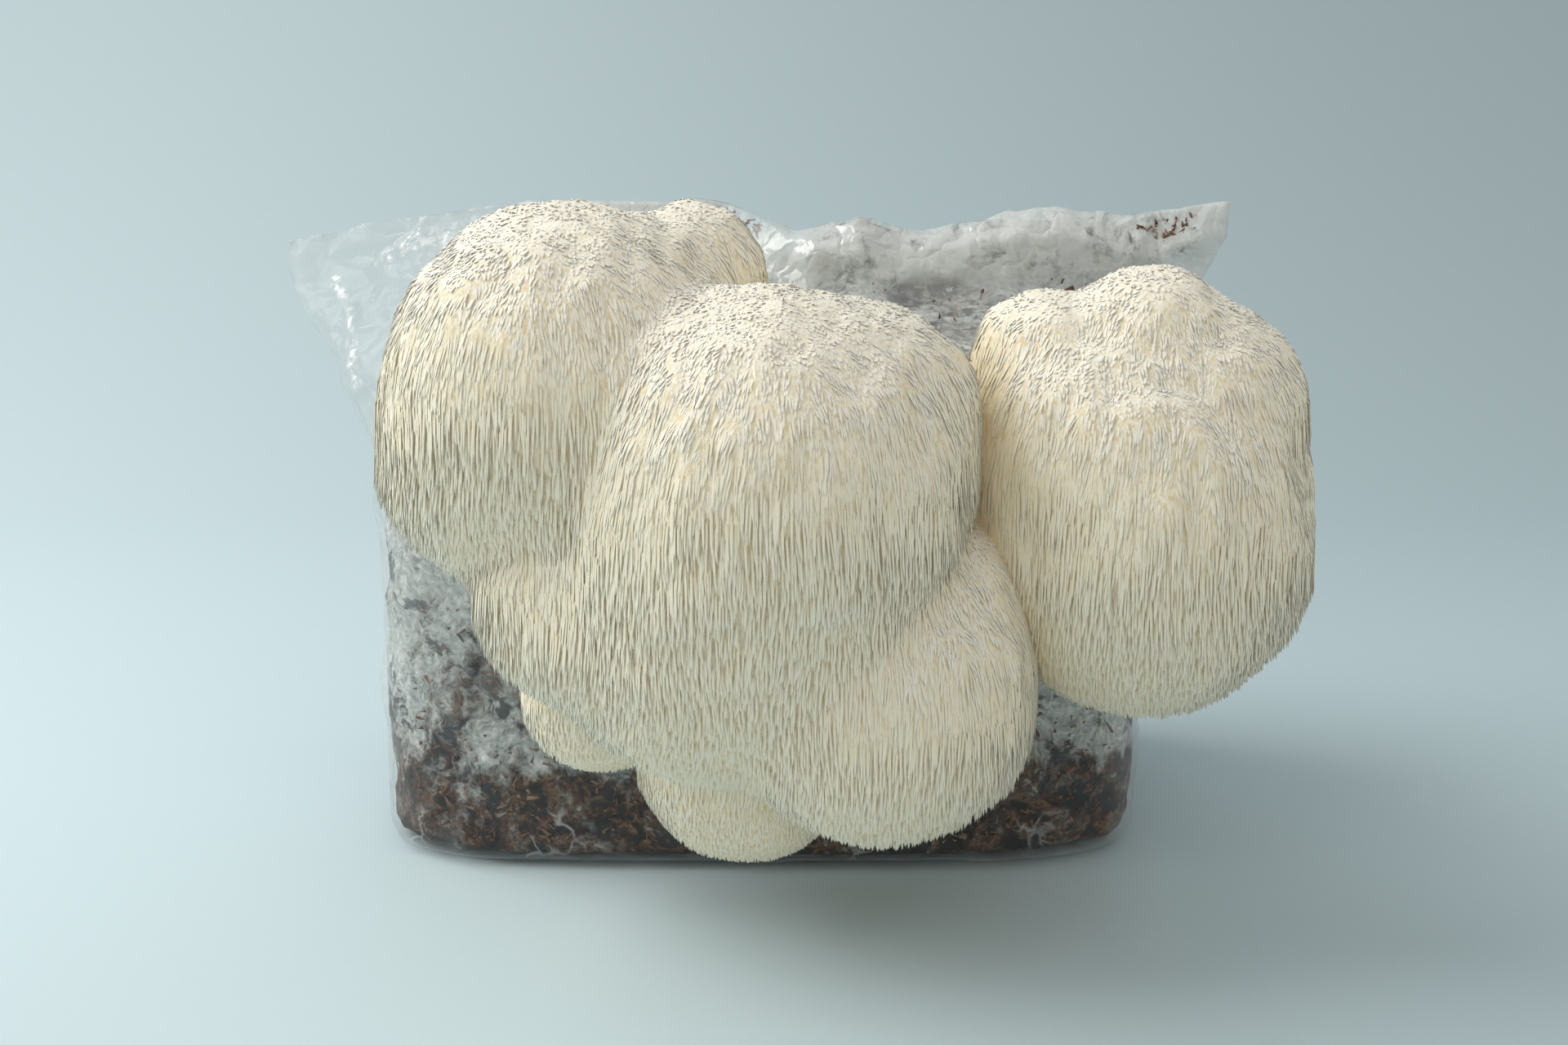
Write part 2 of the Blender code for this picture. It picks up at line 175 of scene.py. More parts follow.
def ring_faces(rows, count):
    """Quads between the rings, and caps across the first and the last one."""
    faces = []
    for row in range(rows - 1):
        for i in range(count):
            j = (i + 1) % count
            low = row * count
            faces.append((low + i, low + j, low + count + j, low + count + i))
    for low, turned in ((0, True), ((rows - 1) * count, False)):
        for i in range(count // 2 - 1):
            quad = (low + i, low + i + 1, low + count - 2 - i, low + count - 1 - i)
            faces.append(quad[::-1] if turned else quad)
    return faces


def mesh_piece(name, points, faces, material):
    mesh = bpy.data.meshes.new(name)
    mesh.from_pydata(np.asarray(points).tolist(), [], faces)
    mesh.materials.append(material)
    mesh.shade_smooth()
    piece = bpy.data.objects.new(name, mesh)
    bpy.context.scene.collection.objects.link(piece)
    return piece


def vertex_arrays(piece):
    """Places and normals of a piece's points."""
    count = len(piece.data.vertices)
    places = np.empty(count * 3)
    normals = np.empty(count * 3)
    piece.data.vertices.foreach_get("co", places)
    piece.data.vertices.foreach_get("normal", normals)
    return places.reshape(-1, 3), normals.reshape(-1, 3)


def move_vertices(piece, places):
    piece.data.vertices.foreach_set("co", np.asarray(places).ravel())
    piece.data.update()


def noise_at(points, scale, seed=0.0):
    """Smooth noise from -1 to 1 at each point."""
    shift = Vector((seed * 3.1, seed * 1.7, seed * 2.3))
    return np.array([noise.noise(Vector(point) * scale + shift) for point in points])


def add_node(tree, kind, place, **values):
    """A node at a place in the editor, with its settings and the values of its sockets."""
    node = tree.nodes.new(kind)
    node.location = place
    for key, value in values.items():
        if hasattr(node, key):
            setattr(node, key, value)
        else:
            node.inputs[key.replace("_", " ")].default_value = value
    return node


def add_ramp(tree, place, stops):
    """A colour ramp with (place, colour) stops."""
    node = tree.nodes.new("ShaderNodeValToRGB")
    node.location = place
    elements = node.color_ramp.elements
    while len(elements) < len(stops):
        elements.new(0.5)
    for element, (where, colour) in zip(elements, stops):
        element.position = where
        element.color = (*colour, 1.0)
    return node


def mycelium_growth_group():
    """How far mycelium covers each place, the grain and chips of the sawdust, and dark specks."""
    group = bpy.data.node_groups.new("mycelium_growth", "ShaderNodeTree")
    for name, value in (("Bareness", 0.0), ("Patch Scale", 60.0), ("Grain Scale", 420.0)):
        socket = group.interface.new_socket(name, in_out="INPUT", socket_type="NodeSocketFloat")
        socket.default_value = value
    for name in ("Growth", "Grain", "Chip", "Speck"):
        group.interface.new_socket(name, in_out="OUTPUT", socket_type="NodeSocketFloat")
    inputs = add_node(group, "NodeGroupInput", (-1400, 0))
    outputs = add_node(group, "NodeGroupOutput", (600, 0))
    coordinates = add_node(group, "ShaderNodeTexCoord", (-1400, -300))
    swirl = add_node(group, "ShaderNodeTexNoise", (-1200, -300), Scale=75.0, Detail=3.0)
    group.links.new(coordinates.outputs["Object"], swirl.inputs["Vector"])
    shift = add_node(group, "ShaderNodeVectorMath", (-1000, -300), operation="MULTIPLY_ADD")
    shift.inputs[1].default_value = (0.013, 0.013, 0.013)
    group.links.new(swirl.outputs["Color"], shift.inputs[0])
    group.links.new(coordinates.outputs["Object"], shift.inputs[2])
    patches = add_node(group, "ShaderNodeTexNoise", (-700, 300), Detail=9.0, Roughness=0.72)
    grains = add_node(group, "ShaderNodeTexNoise", (-700, 50), Detail=5.0, Roughness=0.72)
    chips = add_node(group, "ShaderNodeTexVoronoi", (-700, -200))
    blends = add_node(group, "ShaderNodeTexNoise", (-700, -350), Detail=7.0, Roughness=0.66)
    specks = add_node(group, "ShaderNodeTexNoise", (-700, -600), Detail=6.0, Roughness=0.62)
    for texture, socket, share in (
        (chips, "Grain Scale", 0.60), (blends, "Grain Scale", 0.25), (specks, "Patch Scale", 1.50),
    ):
        scale = add_node(group, "ShaderNodeMath", (-900, -200), operation="MULTIPLY")
        scale.inputs[1].default_value = share
        group.links.new(inputs.outputs[socket], scale.inputs[0])
        group.links.new(scale.outputs["Value"], texture.inputs["Scale"])
    group.links.new(inputs.outputs["Patch Scale"], patches.inputs["Scale"])
    group.links.new(inputs.outputs["Grain Scale"], grains.inputs["Scale"])
    for texture in (patches, grains, chips, blends, specks):
        group.links.new(shift.outputs["Vector"], texture.inputs["Vector"])
    thinned = add_node(group, "ShaderNodeMath", (-400, 300), operation="MULTIPLY_ADD")
    thinned.inputs[1].default_value = -0.34
    group.links.new(inputs.outputs["Bareness"], thinned.inputs[0])
    group.links.new(patches.outputs["Fac"], thinned.inputs[2])
    growth = add_node(group, "ShaderNodeMapRange", (-100, 300))
    growth.inputs["From Min"].default_value = 0.33
    growth.inputs["From Max"].default_value = 0.47
    group.links.new(thinned.outputs["Value"], growth.inputs["Value"])
    chip = add_node(group, "ShaderNodeSeparateXYZ", (-400, -200))
    group.links.new(chips.outputs["Color"], chip.inputs["Vector"])
    own_tone = add_node(group, "ShaderNodeMath", (-200, -200), operation="MULTIPLY_ADD")
    own_tone.inputs[1].default_value = 0.34
    group.links.new(chip.outputs["X"], own_tone.inputs[0])
    spread = add_node(group, "ShaderNodeMapRange", (-400, -350))
    spread.inputs["From Min"].default_value = 0.34
    spread.inputs["From Max"].default_value = 0.74
    group.links.new(blends.outputs["Fac"], spread.inputs["Value"])
    group.links.new(spread.outputs["Result"], own_tone.inputs[2])
    speck = add_node(group, "ShaderNodeMapRange", (-400, -600))
    speck.inputs["From Min"].default_value = 0.540
    speck.inputs["From Max"].default_value = 0.610
    speck.inputs["To Max"].default_value = 0.92
    group.links.new(specks.outputs["Fac"], speck.inputs["Value"])
    group.links.new(growth.outputs["Result"], outputs.inputs["Growth"])
    group.links.new(grains.outputs["Fac"], outputs.inputs["Grain"])
    group.links.new(own_tone.outputs["Value"], outputs.inputs["Chip"])
    group.links.new(speck.outputs["Result"], outputs.inputs["Speck"])
    return group


mycelium_growth = mycelium_growth_group()


def new_material(name, roughness):
    material = bpy.data.materials.new(name)
    material.use_nodes = True
    shader = material.node_tree.nodes["Principled BSDF"]
    shader.inputs["Roughness"].default_value = roughness
    return material, material.node_tree, shader


def add_growth(tree, place, patch_scale, grain_scale):
    node = tree.nodes.new("ShaderNodeGroup")
    node.node_tree = mycelium_growth
    node.location = place
    node.inputs["Patch Scale"].default_value = patch_scale
    node.inputs["Grain Scale"].default_value = grain_scale
    return node


def add_attribute(tree, place, name):
    node = tree.nodes.new("ShaderNodeAttribute")
    node.location = place
    node.attribute_name = name
    return node


def add_mix(tree, place, factor, first, second, blend_type="MIX"):
    """Mixes two colours. Factor and colours are sockets."""
    node = add_node(tree, "ShaderNodeMix", place, data_type="RGBA", blend_type=blend_type)
    tree.links.new(factor, node.inputs["Factor"])
    tree.links.new(first, node.inputs[6])
    tree.links.new(second, node.inputs[7])
    return node.outputs[2]


SAWDUST_CHIPS = (
    (0.10, (0.006, 0.007, 0.010)),
    (0.34, (0.014, 0.012, 0.012)),
    (0.48, (0.060, 0.032, 0.021)),
    (0.62, (0.165, 0.072, 0.036)),
    (0.74, (0.260, 0.160, 0.095)),
    (0.84, (0.120, 0.120, 0.112)),
    (1.00, (0.460, 0.420, 0.340)),
)


def substrate_material():
    """White mycelium over brown sawdust. It thins out where the attribute "bareness" is high."""
    material, tree, shader = new_material("sawdust_and_mycelium", 0.85)
    growth = add_growth(tree, (-1300, 0), 72.0, 520.0)
    bareness = add_attribute(tree, (-1500, 0), "bareness")
    tree.links.new(bareness.outputs["Fac"], growth.inputs["Bareness"])
    chips = add_ramp(tree, (-1000, -200), SAWDUST_CHIPS)
    tree.links.new(growth.outputs["Chip"], chips.inputs["Fac"])
    # Darker where the grain is low, in step with the bump: painted shade in the hollows between chips.
    depth = add_ramp(tree, (-1000, -450), (
        (0.36, (0.22, 0.22, 0.24)),
        (0.62, (1.00, 1.00, 1.00)),
    ))
    tree.links.new(growth.outputs["Grain"], depth.inputs["Fac"])
    whole = add_node(tree, "ShaderNodeValue", (-1000, -700))
    whole.outputs[0].default_value = 1.0
    sawdust = add_mix(
        tree, (-700, -300), whole.outputs[0], chips.outputs["Color"], depth.outputs["Color"],
        "MULTIPLY",
    )
    mycelium = add_ramp(tree, (-1000, 150), (
        (0.34, (0.260, 0.290, 0.290)),
        (0.50, (0.520, 0.545, 0.520)),
        (0.64, (0.800, 0.815, 0.770)),
    ))
    tree.links.new(growth.outputs["Grain"], mycelium.inputs["Fac"])
    cover = add_mix(
        tree, (-450, 0), growth.outputs["Growth"], sawdust, mycelium.outputs["Color"]
    )
    speck_colour = add_node(tree, "ShaderNodeRGB", (-700, -600))
    speck_colour.outputs[0].default_value = (0.020, 0.026, 0.033, 1.0)
    colour = add_mix(
        tree, (-200, 0), growth.outputs["Speck"], cover, speck_colour.outputs[0]
    )
    tree.links.new(colour, shader.inputs["Base Color"])
    bump = add_node(tree, "ShaderNodeBump", (-200, -300))
    bump.inputs["Strength"].default_value = 0.9
    bump.inputs["Distance"].default_value = 0.0010
    tree.links.new(growth.outputs["Grain"], bump.inputs["Height"])
    tree.links.new(bump.outputs["Normal"], shader.inputs["Normal"])
    return material


# Patches of the front where the mycelium is thin (above 0) or thick (below 0): x, z, radius, share
BARE_PATCHES = (
    (-0.0680, 0.0560, 0.0110, 0.50), (-0.0600, 0.0300, 0.0140, 0.25),
    (-0.0950, 0.0120, 0.0080, 0.35),
    (-0.0900, 0.0780, 0.0140, -0.35), (-0.0760, 0.0360, 0.0050, -0.60),
    (-0.0810, 0.0200, 0.0050, -0.45), (-0.0560, 0.0330, 0.0060, -0.35),
    (0.0700, 0.0260, 0.0140, 0.35), (0.0960, 0.0260, 0.0120, 0.15),
    (0.0860, 0.0420, 0.0120, -0.25), (0.0100, 0.0150, 0.0400, 0.50),
    (0.0520, 0.1580, 0.0140, 0.25), (0.1140, 0.1700, 0.0100, 0.85),
)


def bareness_at(places):
    """How bare of mycelium the block is: most along its bottom, and in a few patches."""
    x, y, z = places.T
    wave = noise_at(places, 38.0, 4.0)
    bare = 1.00 * (1.0 - smooth_step(z + 0.012 * wave, 0.002, 0.038))
    bare = bare + 0.12 * (1.0 - smooth_step(z, 0.050, 0.090)) + 0.22 * wave
    bare = bare - 0.42 * smooth_step(z, 0.150, 0.168)
    front = y < 0.01
    for patch_x, patch_z, radius, share in BARE_PATCHES:
        near = np.exp(-((x - patch_x) ** 2 + (z - patch_z) ** 2) / radius ** 2)
        bare = bare + share * near * front
    return bare


def set_attribute(piece, name, values):
    layer = piece.data.attributes.new(name, "FLOAT", "POINT")
    layer.data.foreach_set("value", np.asarray(values, dtype=np.float32))


def build_substrate_block(material):
    low = np.linspace(0.0, BOTTOM_EDGE_RADIUS, 6)
    high = np.linspace(BOTTOM_EDGE_RADIUS, RIDGE_HEIGHT, BLOCK_ROWS - 5)[1:]
    rings = bag_rings(
        BLOCK_INSET,
        BLOCK_COLUMNS,
        np.concatenate([low, high]),
        limits=(BLOCK_LEFT_REACH, BLOCK_RIGHT_REACH),
        drops=(BLOCK_LEFT_TOP_DROP, BLOCK_RIGHT_TOP_DROP),
    )
    rows, count = rings.shape[:2]
    block = mesh_piece("sawdust_block", rings.reshape(-1, 3), ring_faces(rows, count), material)
    places, normals = vertex_arrays(block)
    lumps = noise_at(places, LUMP_SCALE, 1.0) * LUMP_HEIGHT
    chips = noise_at(places, CHIP_SCALE, 2.0) * CHIP_HEIGHT
    height = np.minimum(lumps + chips, 0.0010)
    height = np.where(places[:, 2] < 0.004, np.minimum(height, 0.0), height)
    move_vertices(block, places + normals * height[:, None])
    set_attribute(block, "bareness", bareness_at(places))
    return block


def crumb_material():
    """Loose sawdust chips, each of its own brown, a few of them grey or black."""
    material, tree, shader = new_material("loose_sawdust", 0.8)
    growth = add_growth(tree, (-900, 0), 105.0, 300.0)
    chips = add_ramp(tree, (-600, 0), (
        (0.00, (0.045, 0.030, 0.024)),
        (0.30, (0.110, 0.060, 0.038)),
        (0.60, (0.210, 0.105, 0.058)),
        (1.00, (0.330, 0.230, 0.150)),
    ))
    tree.links.new(growth.outputs["Chip"], chips.inputs["Fac"])
    tree.links.new(chips.outputs["Color"], shader.inputs["Base Color"])
    bump = add_node(tree, "ShaderNodeBump", (-300, -300))
    bump.inputs["Strength"].default_value = 0.7
    bump.inputs["Distance"].default_value = 0.0005
    tree.links.new(growth.outputs["Grain"], bump.inputs["Height"])
    tree.links.new(bump.outputs["Normal"], shader.inputs["Normal"])
    return material


# Where loose chips lie against the film: x and z of a corner, the other corner, how many
CRUMB_FIELDS = (
    ((-0.098, 0.008), (0.098, 0.030), 420),
    ((-0.096, 0.030), (-0.050, 0.075), 90),
    ((0.060, 0.030), (0.098, 0.060), 60),
    ((0.106, 0.164), (0.127, 0.1745), 110),
    ((-0.022, 0.1715), (0.000, 0.1750), 30),
    ((0.030, 0.148), (0.100, 0.158), 36),
)
CRUMB_HALF_LENGTHS = (0.0005, 0.0021)
CRUMB_HALF_WIDTHS = (0.0003, 0.0007)
CRUMB_HALF_THICKNESS = 0.0004
CRUMB_CORNERS = np.array([
    (-1, -1, -1), (1, -1, -1), (1, 1, -1), (-1, 1, -1),
    (-1, -1, 1), (1, -1, 1), (1, 1, 1), (-1, 1, 1),
], dtype=float)
CRUMB_FACES = np.array([
    (0, 3, 2, 1), (4, 5, 6, 7), (0, 1, 5, 4), (1, 2, 6, 5), (2, 3, 7, 6), (3, 0, 4, 7),
])


def build_crumbs(material):
    """Splinters of wood, front and back, just under the film."""
    random = np.random.default_rng(3)
    points = []
    for (x_low, z_low), (x_high, z_high), count in CRUMB_FIELDS:
        for side in (-1.0, 1.0):
            x = x_low + (x_high - x_low) * random.random(count)
            z = z_low + (z_high - z_low) * random.random(count) ** 1.3
            depth = bag_half_depth(x, z) - BLOCK_INSET + 0.0004
            middle = np.stack([x, bag_lean(x, z) + side * depth, z], axis=1)
            upper = smooth_step(z, TOP_SHAPING_HEIGHT, RIDGE_HEIGHT)
            middle[:, 2] += (read_off(TOP_EDGE, x) - RIDGE_HEIGHT) * upper
            size = np.stack([
                blend(*CRUMB_HALF_LENGTHS, random.random(count) ** 2),
                np.full(count, CRUMB_HALF_THICKNESS),
                blend(*CRUMB_HALF_WIDTHS, random.random(count)),
            ], axis=1)
            corners = CRUMB_CORNERS * (0.45 + 0.55 * random.random((count, 8, 3)))
            corners = corners * size[:, None, :]
            pointed = np.where(corners[:, :, 0] > 0.0, 0.35, 1.0)[:, :, None]
            corners = corners * np.concatenate([np.ones_like(pointed), pointed, pointed], axis=2)
            turn = 2.0 * np.pi * random.random(count)
            cosine, sine = np.cos(turn)[:, None], np.sin(turn)[:, None]
            turned_x = corners[:, :, 0] * cosine - corners[:, :, 2] * sine
            turned_z = corners[:, :, 0] * sine + corners[:, :, 2] * cosine
            corners = np.stack([turned_x, corners[:, :, 1], turned_z], axis=2)
            points.append(middle[:, None, :] + corners)
    points = np.concatenate(points)
    faces = (CRUMB_FACES[None] + 8 * np.arange(len(points))[:, None, None]).reshape(-1, 4)
    return mesh_piece("sawdust_crumbs", points.reshape(-1, 3), faces.tolist(), material)


sawdust_and_mycelium = substrate_material()
sawdust_block = build_substrate_block(sawdust_and_mycelium)
sawdust_crumbs = build_crumbs(crumb_material())
for substrate_piece in (sawdust_block, sawdust_crumbs):
    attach(substrate_piece, "root")
    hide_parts("substrate_block")

# Grow bag
# A gusseted bag of thin clear polypropylene film, which clings to the block and is crumpled all
# over. Its top is folded over and pulled in, which leaves an empty clear ear at the upper left,
# and it was slit in front, where the pom-poms grew out.

FILM_COLUMNS = 172
FILM_ROWS = 150
FILM_INSET = 0.0006
FILM_REACHES = (((0.100, 0.1425),), ((0.100, 0.1365),))
CREASE_SCALE = 30.0
CREASE_HEIGHT = 0.0020
CRUMPLE_SCALE = 85.0
CRUMPLE_HEIGHT = 0.0011
EAR_CREASE_HEIGHT = 0.0024
FOLD_HEIGHT = 0.0009
OPENING_CENTRE = (0.034, 0.100)
OPENING_HALF_SIZE = (0.064, 0.033)
TEAR_SCALE = 90.0
TEAR_DEPTH = 0.08
# Folds whose edge catches the light, painted on as white highlights: two ends (x, z), half width,
# how white
FOLDS = (
    ((-0.0693, 0.0438), (-0.0421, 0.0060), 0.0014, 0.30),
    ((-0.0880, 0.0700), (-0.0693, 0.0438), 0.0013, 0.24),
    ((-0.0769, 0.0368), (-0.0835, 0.0059), 0.0018, 0.32),
    ((-0.0978, 0.0829), (-0.0920, 0.0624), 0.0016, 0.42),
    ((-0.0921, 0.0886), (-0.0781, 0.0818), 0.0016, 0.80),
    ((-0.0860, 0.0850), (-0.0790, 0.0790), 0.0013, 0.85),
    ((-0.1020, 0.0985), (-0.1030, 0.0900), 0.0016, 0.80),
    ((-0.0985, 0.1060), (-0.0975, 0.1000), 0.0014, 0.75),
    ((-0.0800, 0.0335), (-0.0730, 0.0300), 0.0015, 0.85),
    ((-0.0745, 0.0375), (-0.0700, 0.0335), 0.0013, 0.75),
    ((-0.0925, 0.0450), (-0.0890, 0.0425), 0.0013, 0.75),
    ((-0.0560, 0.0310), (-0.0530, 0.0290), 0.0012, 0.60),
    ((-0.1405, 0.1655), (-0.1299, 0.1590), 0.0013, 1.10),
    ((-0.1299, 0.1590), (-0.1195, 0.1481), 0.0012, 1.10),
    ((-0.1195, 0.1481), (-0.1164, 0.1359), 0.0013, 1.10),
    ((-0.1164, 0.1359), (-0.1130, 0.1297), 0.0016, 0.90),
    ((-0.1200, 0.1650), (-0.0960, 0.1690), 0.0024, 1.00),
    ((-0.1100, 0.1625), (-0.0940, 0.1670), 0.0034, 0.90),
    ((-0.1380, 0.1655), (-0.1234, 0.1670), 0.0012, 0.70),
    ((-0.1090, 0.1200), (-0.1085, 0.0900), 0.0013, 0.45),
    ((-0.1080, 0.0850), (-0.1085, 0.0450), 0.0013, 0.35),
    ((0.0330, 0.1580), (0.0450, 0.1550), 0.0015, 0.70),
    ((0.0480, 0.1600), (0.0540, 0.1570), 0.0014, 0.65),
    ((0.1060, 0.1640), (0.1100, 0.1690), 0.0014, 0.70),
    ((0.1020, 0.0160), (0.0700, 0.0340), 0.0015, 0.25),
)


def film_material():
    """Clear glossy film, with painted highlights: white glints along its crumple creases and white
    streaks along its folds, where they would catch the light, and whitish where seen edge on. It is
    hazy where mycelium has grown against it: the attributes "fold" and "haze" say where."""
    material, tree, shader = new_material("clear_bag_film", 0.10)
    coordinates = add_node(tree, "ShaderNodeTexCoord", (-1800, -200))
    swirl = add_node(tree, "ShaderNodeTexNoise", (-1600, -200), Scale=60.0, Detail=3.0)
    tree.links.new(coordinates.outputs["Object"], swirl.inputs["Vector"])
    shift = add_node(tree, "ShaderNodeVectorMath", (-1400, -200), operation="MULTIPLY_ADD")
    shift.inputs[1].default_value = (0.020, 0.020, 0.020)
    tree.links.new(swirl.outputs["Color"], shift.inputs[0])
    tree.links.new(coordinates.outputs["Object"], shift.inputs[2])
    facets = add_node(tree, "ShaderNodeTexVoronoi", (-1200, -200), Scale=95.0)
    facets.feature = "DISTANCE_TO_EDGE"
    tree.links.new(shift.outputs["Vector"], facets.inputs["Vector"])
    edge = add_node(tree, "ShaderNodeMapRange", (-1000, -200))
    edge.inputs["From Min"].default_value = 0.075
    edge.inputs["From Max"].default_value = 0.0
    tree.links.new(facets.outputs["Distance"], edge.inputs["Value"])
    catching = add_node(tree, "ShaderNodeTexNoise", (-1200, -500), Scale=42.0, Detail=2.0)
    tree.links.new(coordinates.outputs["Object"], catching.inputs["Vector"])
    caught = add_node(tree, "ShaderNodeMapRange", (-1000, -500))
    caught.inputs["From Min"].default_value = 0.50
    caught.inputs["From Max"].default_value = 0.66
    caught.inputs["To Max"].default_value = 0.40
    tree.links.new(catching.outputs["Fac"], caught.inputs["Value"])
    # Painted glints: white along the crumple creases, in patches where they would catch the light.
    glint = add_node(tree, "ShaderNodeMath", (-800, -300), operation="MULTIPLY")
    tree.links.new(edge.outputs["Result"], glint.inputs[0])
    tree.links.new(caught.outputs["Result"], glint.inputs[1])
    fold = add_attribute(tree, (-1000, 0), "fold")
    chopped = add_node(tree, "ShaderNodeTexNoise", (-1200, 100), Scale=430.0, Detail=3.0)
    tree.links.new(coordinates.outputs["Object"], chopped.inputs["Vector"])
    dashes = add_node(tree, "ShaderNodeMapRange", (-1000, 100))
    dashes.inputs["From Min"].default_value = 0.40
    dashes.inputs["From Max"].default_value = 0.58
    dashes.inputs["To Min"].default_value = 0.12
    tree.links.new(chopped.outputs["Fac"], dashes.inputs["Value"])
    dashed = add_node(tree, "ShaderNodeMath", (-800, 0), operation="MULTIPLY")
    tree.links.new(fold.outputs["Fac"], dashed.inputs[0])
    tree.links.new(dashes.outputs["Result"], dashed.inputs[1])
    white = add_node(tree, "ShaderNodeMath", (-600, -100), operation="MAXIMUM")
    tree.links.new(glint.outputs["Value"], white.inputs[0])
    tree.links.new(dashed.outputs["Value"], white.inputs[1])
    # Whitish and less clear seen edge on: a painted sheen for the film's reflection.
    rim = add_node(tree, "ShaderNodeLayerWeight", (-800, 600), Blend=0.30)
    rim_share = add_node(tree, "ShaderNodeMath", (-600, 600), operation="MULTIPLY")
    rim_share.inputs[1].default_value = 0.45
    tree.links.new(rim.outputs["Facing"], rim_share.inputs[0])
    growth = add_growth(tree, (-1000, 400), 75.0, 420.0)
    haze = add_attribute(tree, (-1000, 200), "haze")
    hazy = add_node(tree, "ShaderNodeMath", (-700, 300), operation="MULTIPLY_ADD")
    hazy.inputs[2].default_value = 0.035
    tree.links.new(growth.outputs["Growth"], hazy.inputs[0])
    tree.links.new(haze.outputs["Fac"], hazy.inputs[1])
    alpha = add_node(tree, "ShaderNodeMath", (-400, 0), operation="MAXIMUM")
    covered = add_node(tree, "ShaderNodeMath", (-500, 100), operation="MAXIMUM")
    tree.links.new(hazy.outputs["Value"], covered.inputs[0])
    tree.links.new(rim_share.outputs["Value"], covered.inputs[1])
    tree.links.new(covered.outputs["Value"], alpha.inputs[0])
    tree.links.new(white.outputs["Value"], alpha.inputs[1])
    tree.links.new(alpha.outputs["Value"], shader.inputs["Alpha"])
    # Whiter under the painted highlights.
    tint_and_highlight = add_ramp(tree, (-400, 300), (
        (0.0, (0.780, 0.815, 0.800)),
        (0.5, (0.930, 0.945, 0.940)),
    ))
    tree.links.new(white.outputs["Value"], tint_and_highlight.inputs["Fac"])
    tree.links.new(tint_and_highlight.outputs["Color"], shader.inputs["Base Color"])
    bump = add_node(tree, "ShaderNodeBump", (-300, -500))
    bump.inputs["Strength"].default_value = 0.9
    bump.inputs["Distance"].default_value = 0.0020
    tree.links.new(facets.outputs["Distance"], bump.inputs["Height"])
    tree.links.new(bump.outputs["Normal"], shader.inputs["Normal"])
    shader.inputs["Specular IOR Level"].default_value = 1.0
    shader.inputs["IOR"].default_value = 1.55
    return material


def ridged(points, scale, seed):
    """Sharp crease lines: 1 on a crease and 0 between."""
    return 1.0 - np.abs(noise_at(points, scale, seed)) * 2.2


def folds_at(places):
    """How near each place on the front is to a fold, from 0 to 1, and how white its painted highlight
    is there.
    """
    x, y, z = places.T
    front = y < bag_lean(x, z) + 0.0005
    ragged = 0.65 + 0.75 * noise_at(places, 230.0, 10.0)
    near = np.zeros(len(places))
    white = np.zeros(len(places))
    for (x_a, z_a), (x_b, z_b), half_width, share in FOLDS:
        long_x, long_z = x_b - x_a, z_b - z_a
        part = ((x - x_a) * long_x + (z - z_a) * long_z) / (long_x ** 2 + long_z ** 2)
        part = np.clip(part, 0.0, 1.0)
        away = np.hypot(x - x_a - part * long_x, z - z_a - part * long_z)
        bend = np.exp(-(away / half_width) ** 2) * front
        near = np.maximum(near, bend)
        white = np.maximum(white, bend * share * np.clip(ragged, 0.15, 1.2))
    white = np.minimum(white, 0.95)
    return near, white


def haze_at(places):
    """How milky the film is: most over the flap and the roll, and hardly at the clear ear."""
    x, _, z = places.T
    haze = 0.02 + 0.16 * smooth_step(z, 0.030, 0.080)
    over_flap = smooth_step(z, 0.150, 0.166) * smooth_step(x, -0.075, -0.045)
    haze = haze + 0.55 * over_flap
    ear = smooth_step(z, 0.112, 0.128) * (1.0 - smooth_step(x, -0.112, -0.094))
    stain = np.exp(-(((x + 0.003) / 0.014) ** 2 + ((z - 0.172) / 0.005) ** 2))
    return haze * (1.0 - 0.50 * ear) * (1.0 - 0.8 * stain)


def cut_opening(points, faces):
    """Takes out the faces inside the torn opening, with the points beside it moved to its edge."""
    across = (points[:, 0] - OPENING_CENTRE[0]) / OPENING_HALF_SIZE[0]
    up = (points[:, 2] - OPENING_CENTRE[1]) / OPENING_HALF_SIZE[1]
    from_centre = np.hypot(across, up)
    is_front = points[:, 1] < 0.0
    near = is_front & (np.abs(from_centre - 1.0) < 0.04)
    tear = 1.0 + TEAR_DEPTH * noise_at(points, TEAR_SCALE, 12.0)
    edge = tear / np.maximum(from_centre, 0.1)
    points[near, 0] = OPENING_CENTRE[0] + (across * edge)[near] * OPENING_HALF_SIZE[0]
    points[near, 2] = OPENING_CENTRE[1] + (up * edge)[near] * OPENING_HALF_SIZE[1]
    inside = is_front & (from_centre < 0.961)
    return [face for face in faces if not any(inside[corner] for corner in face)]


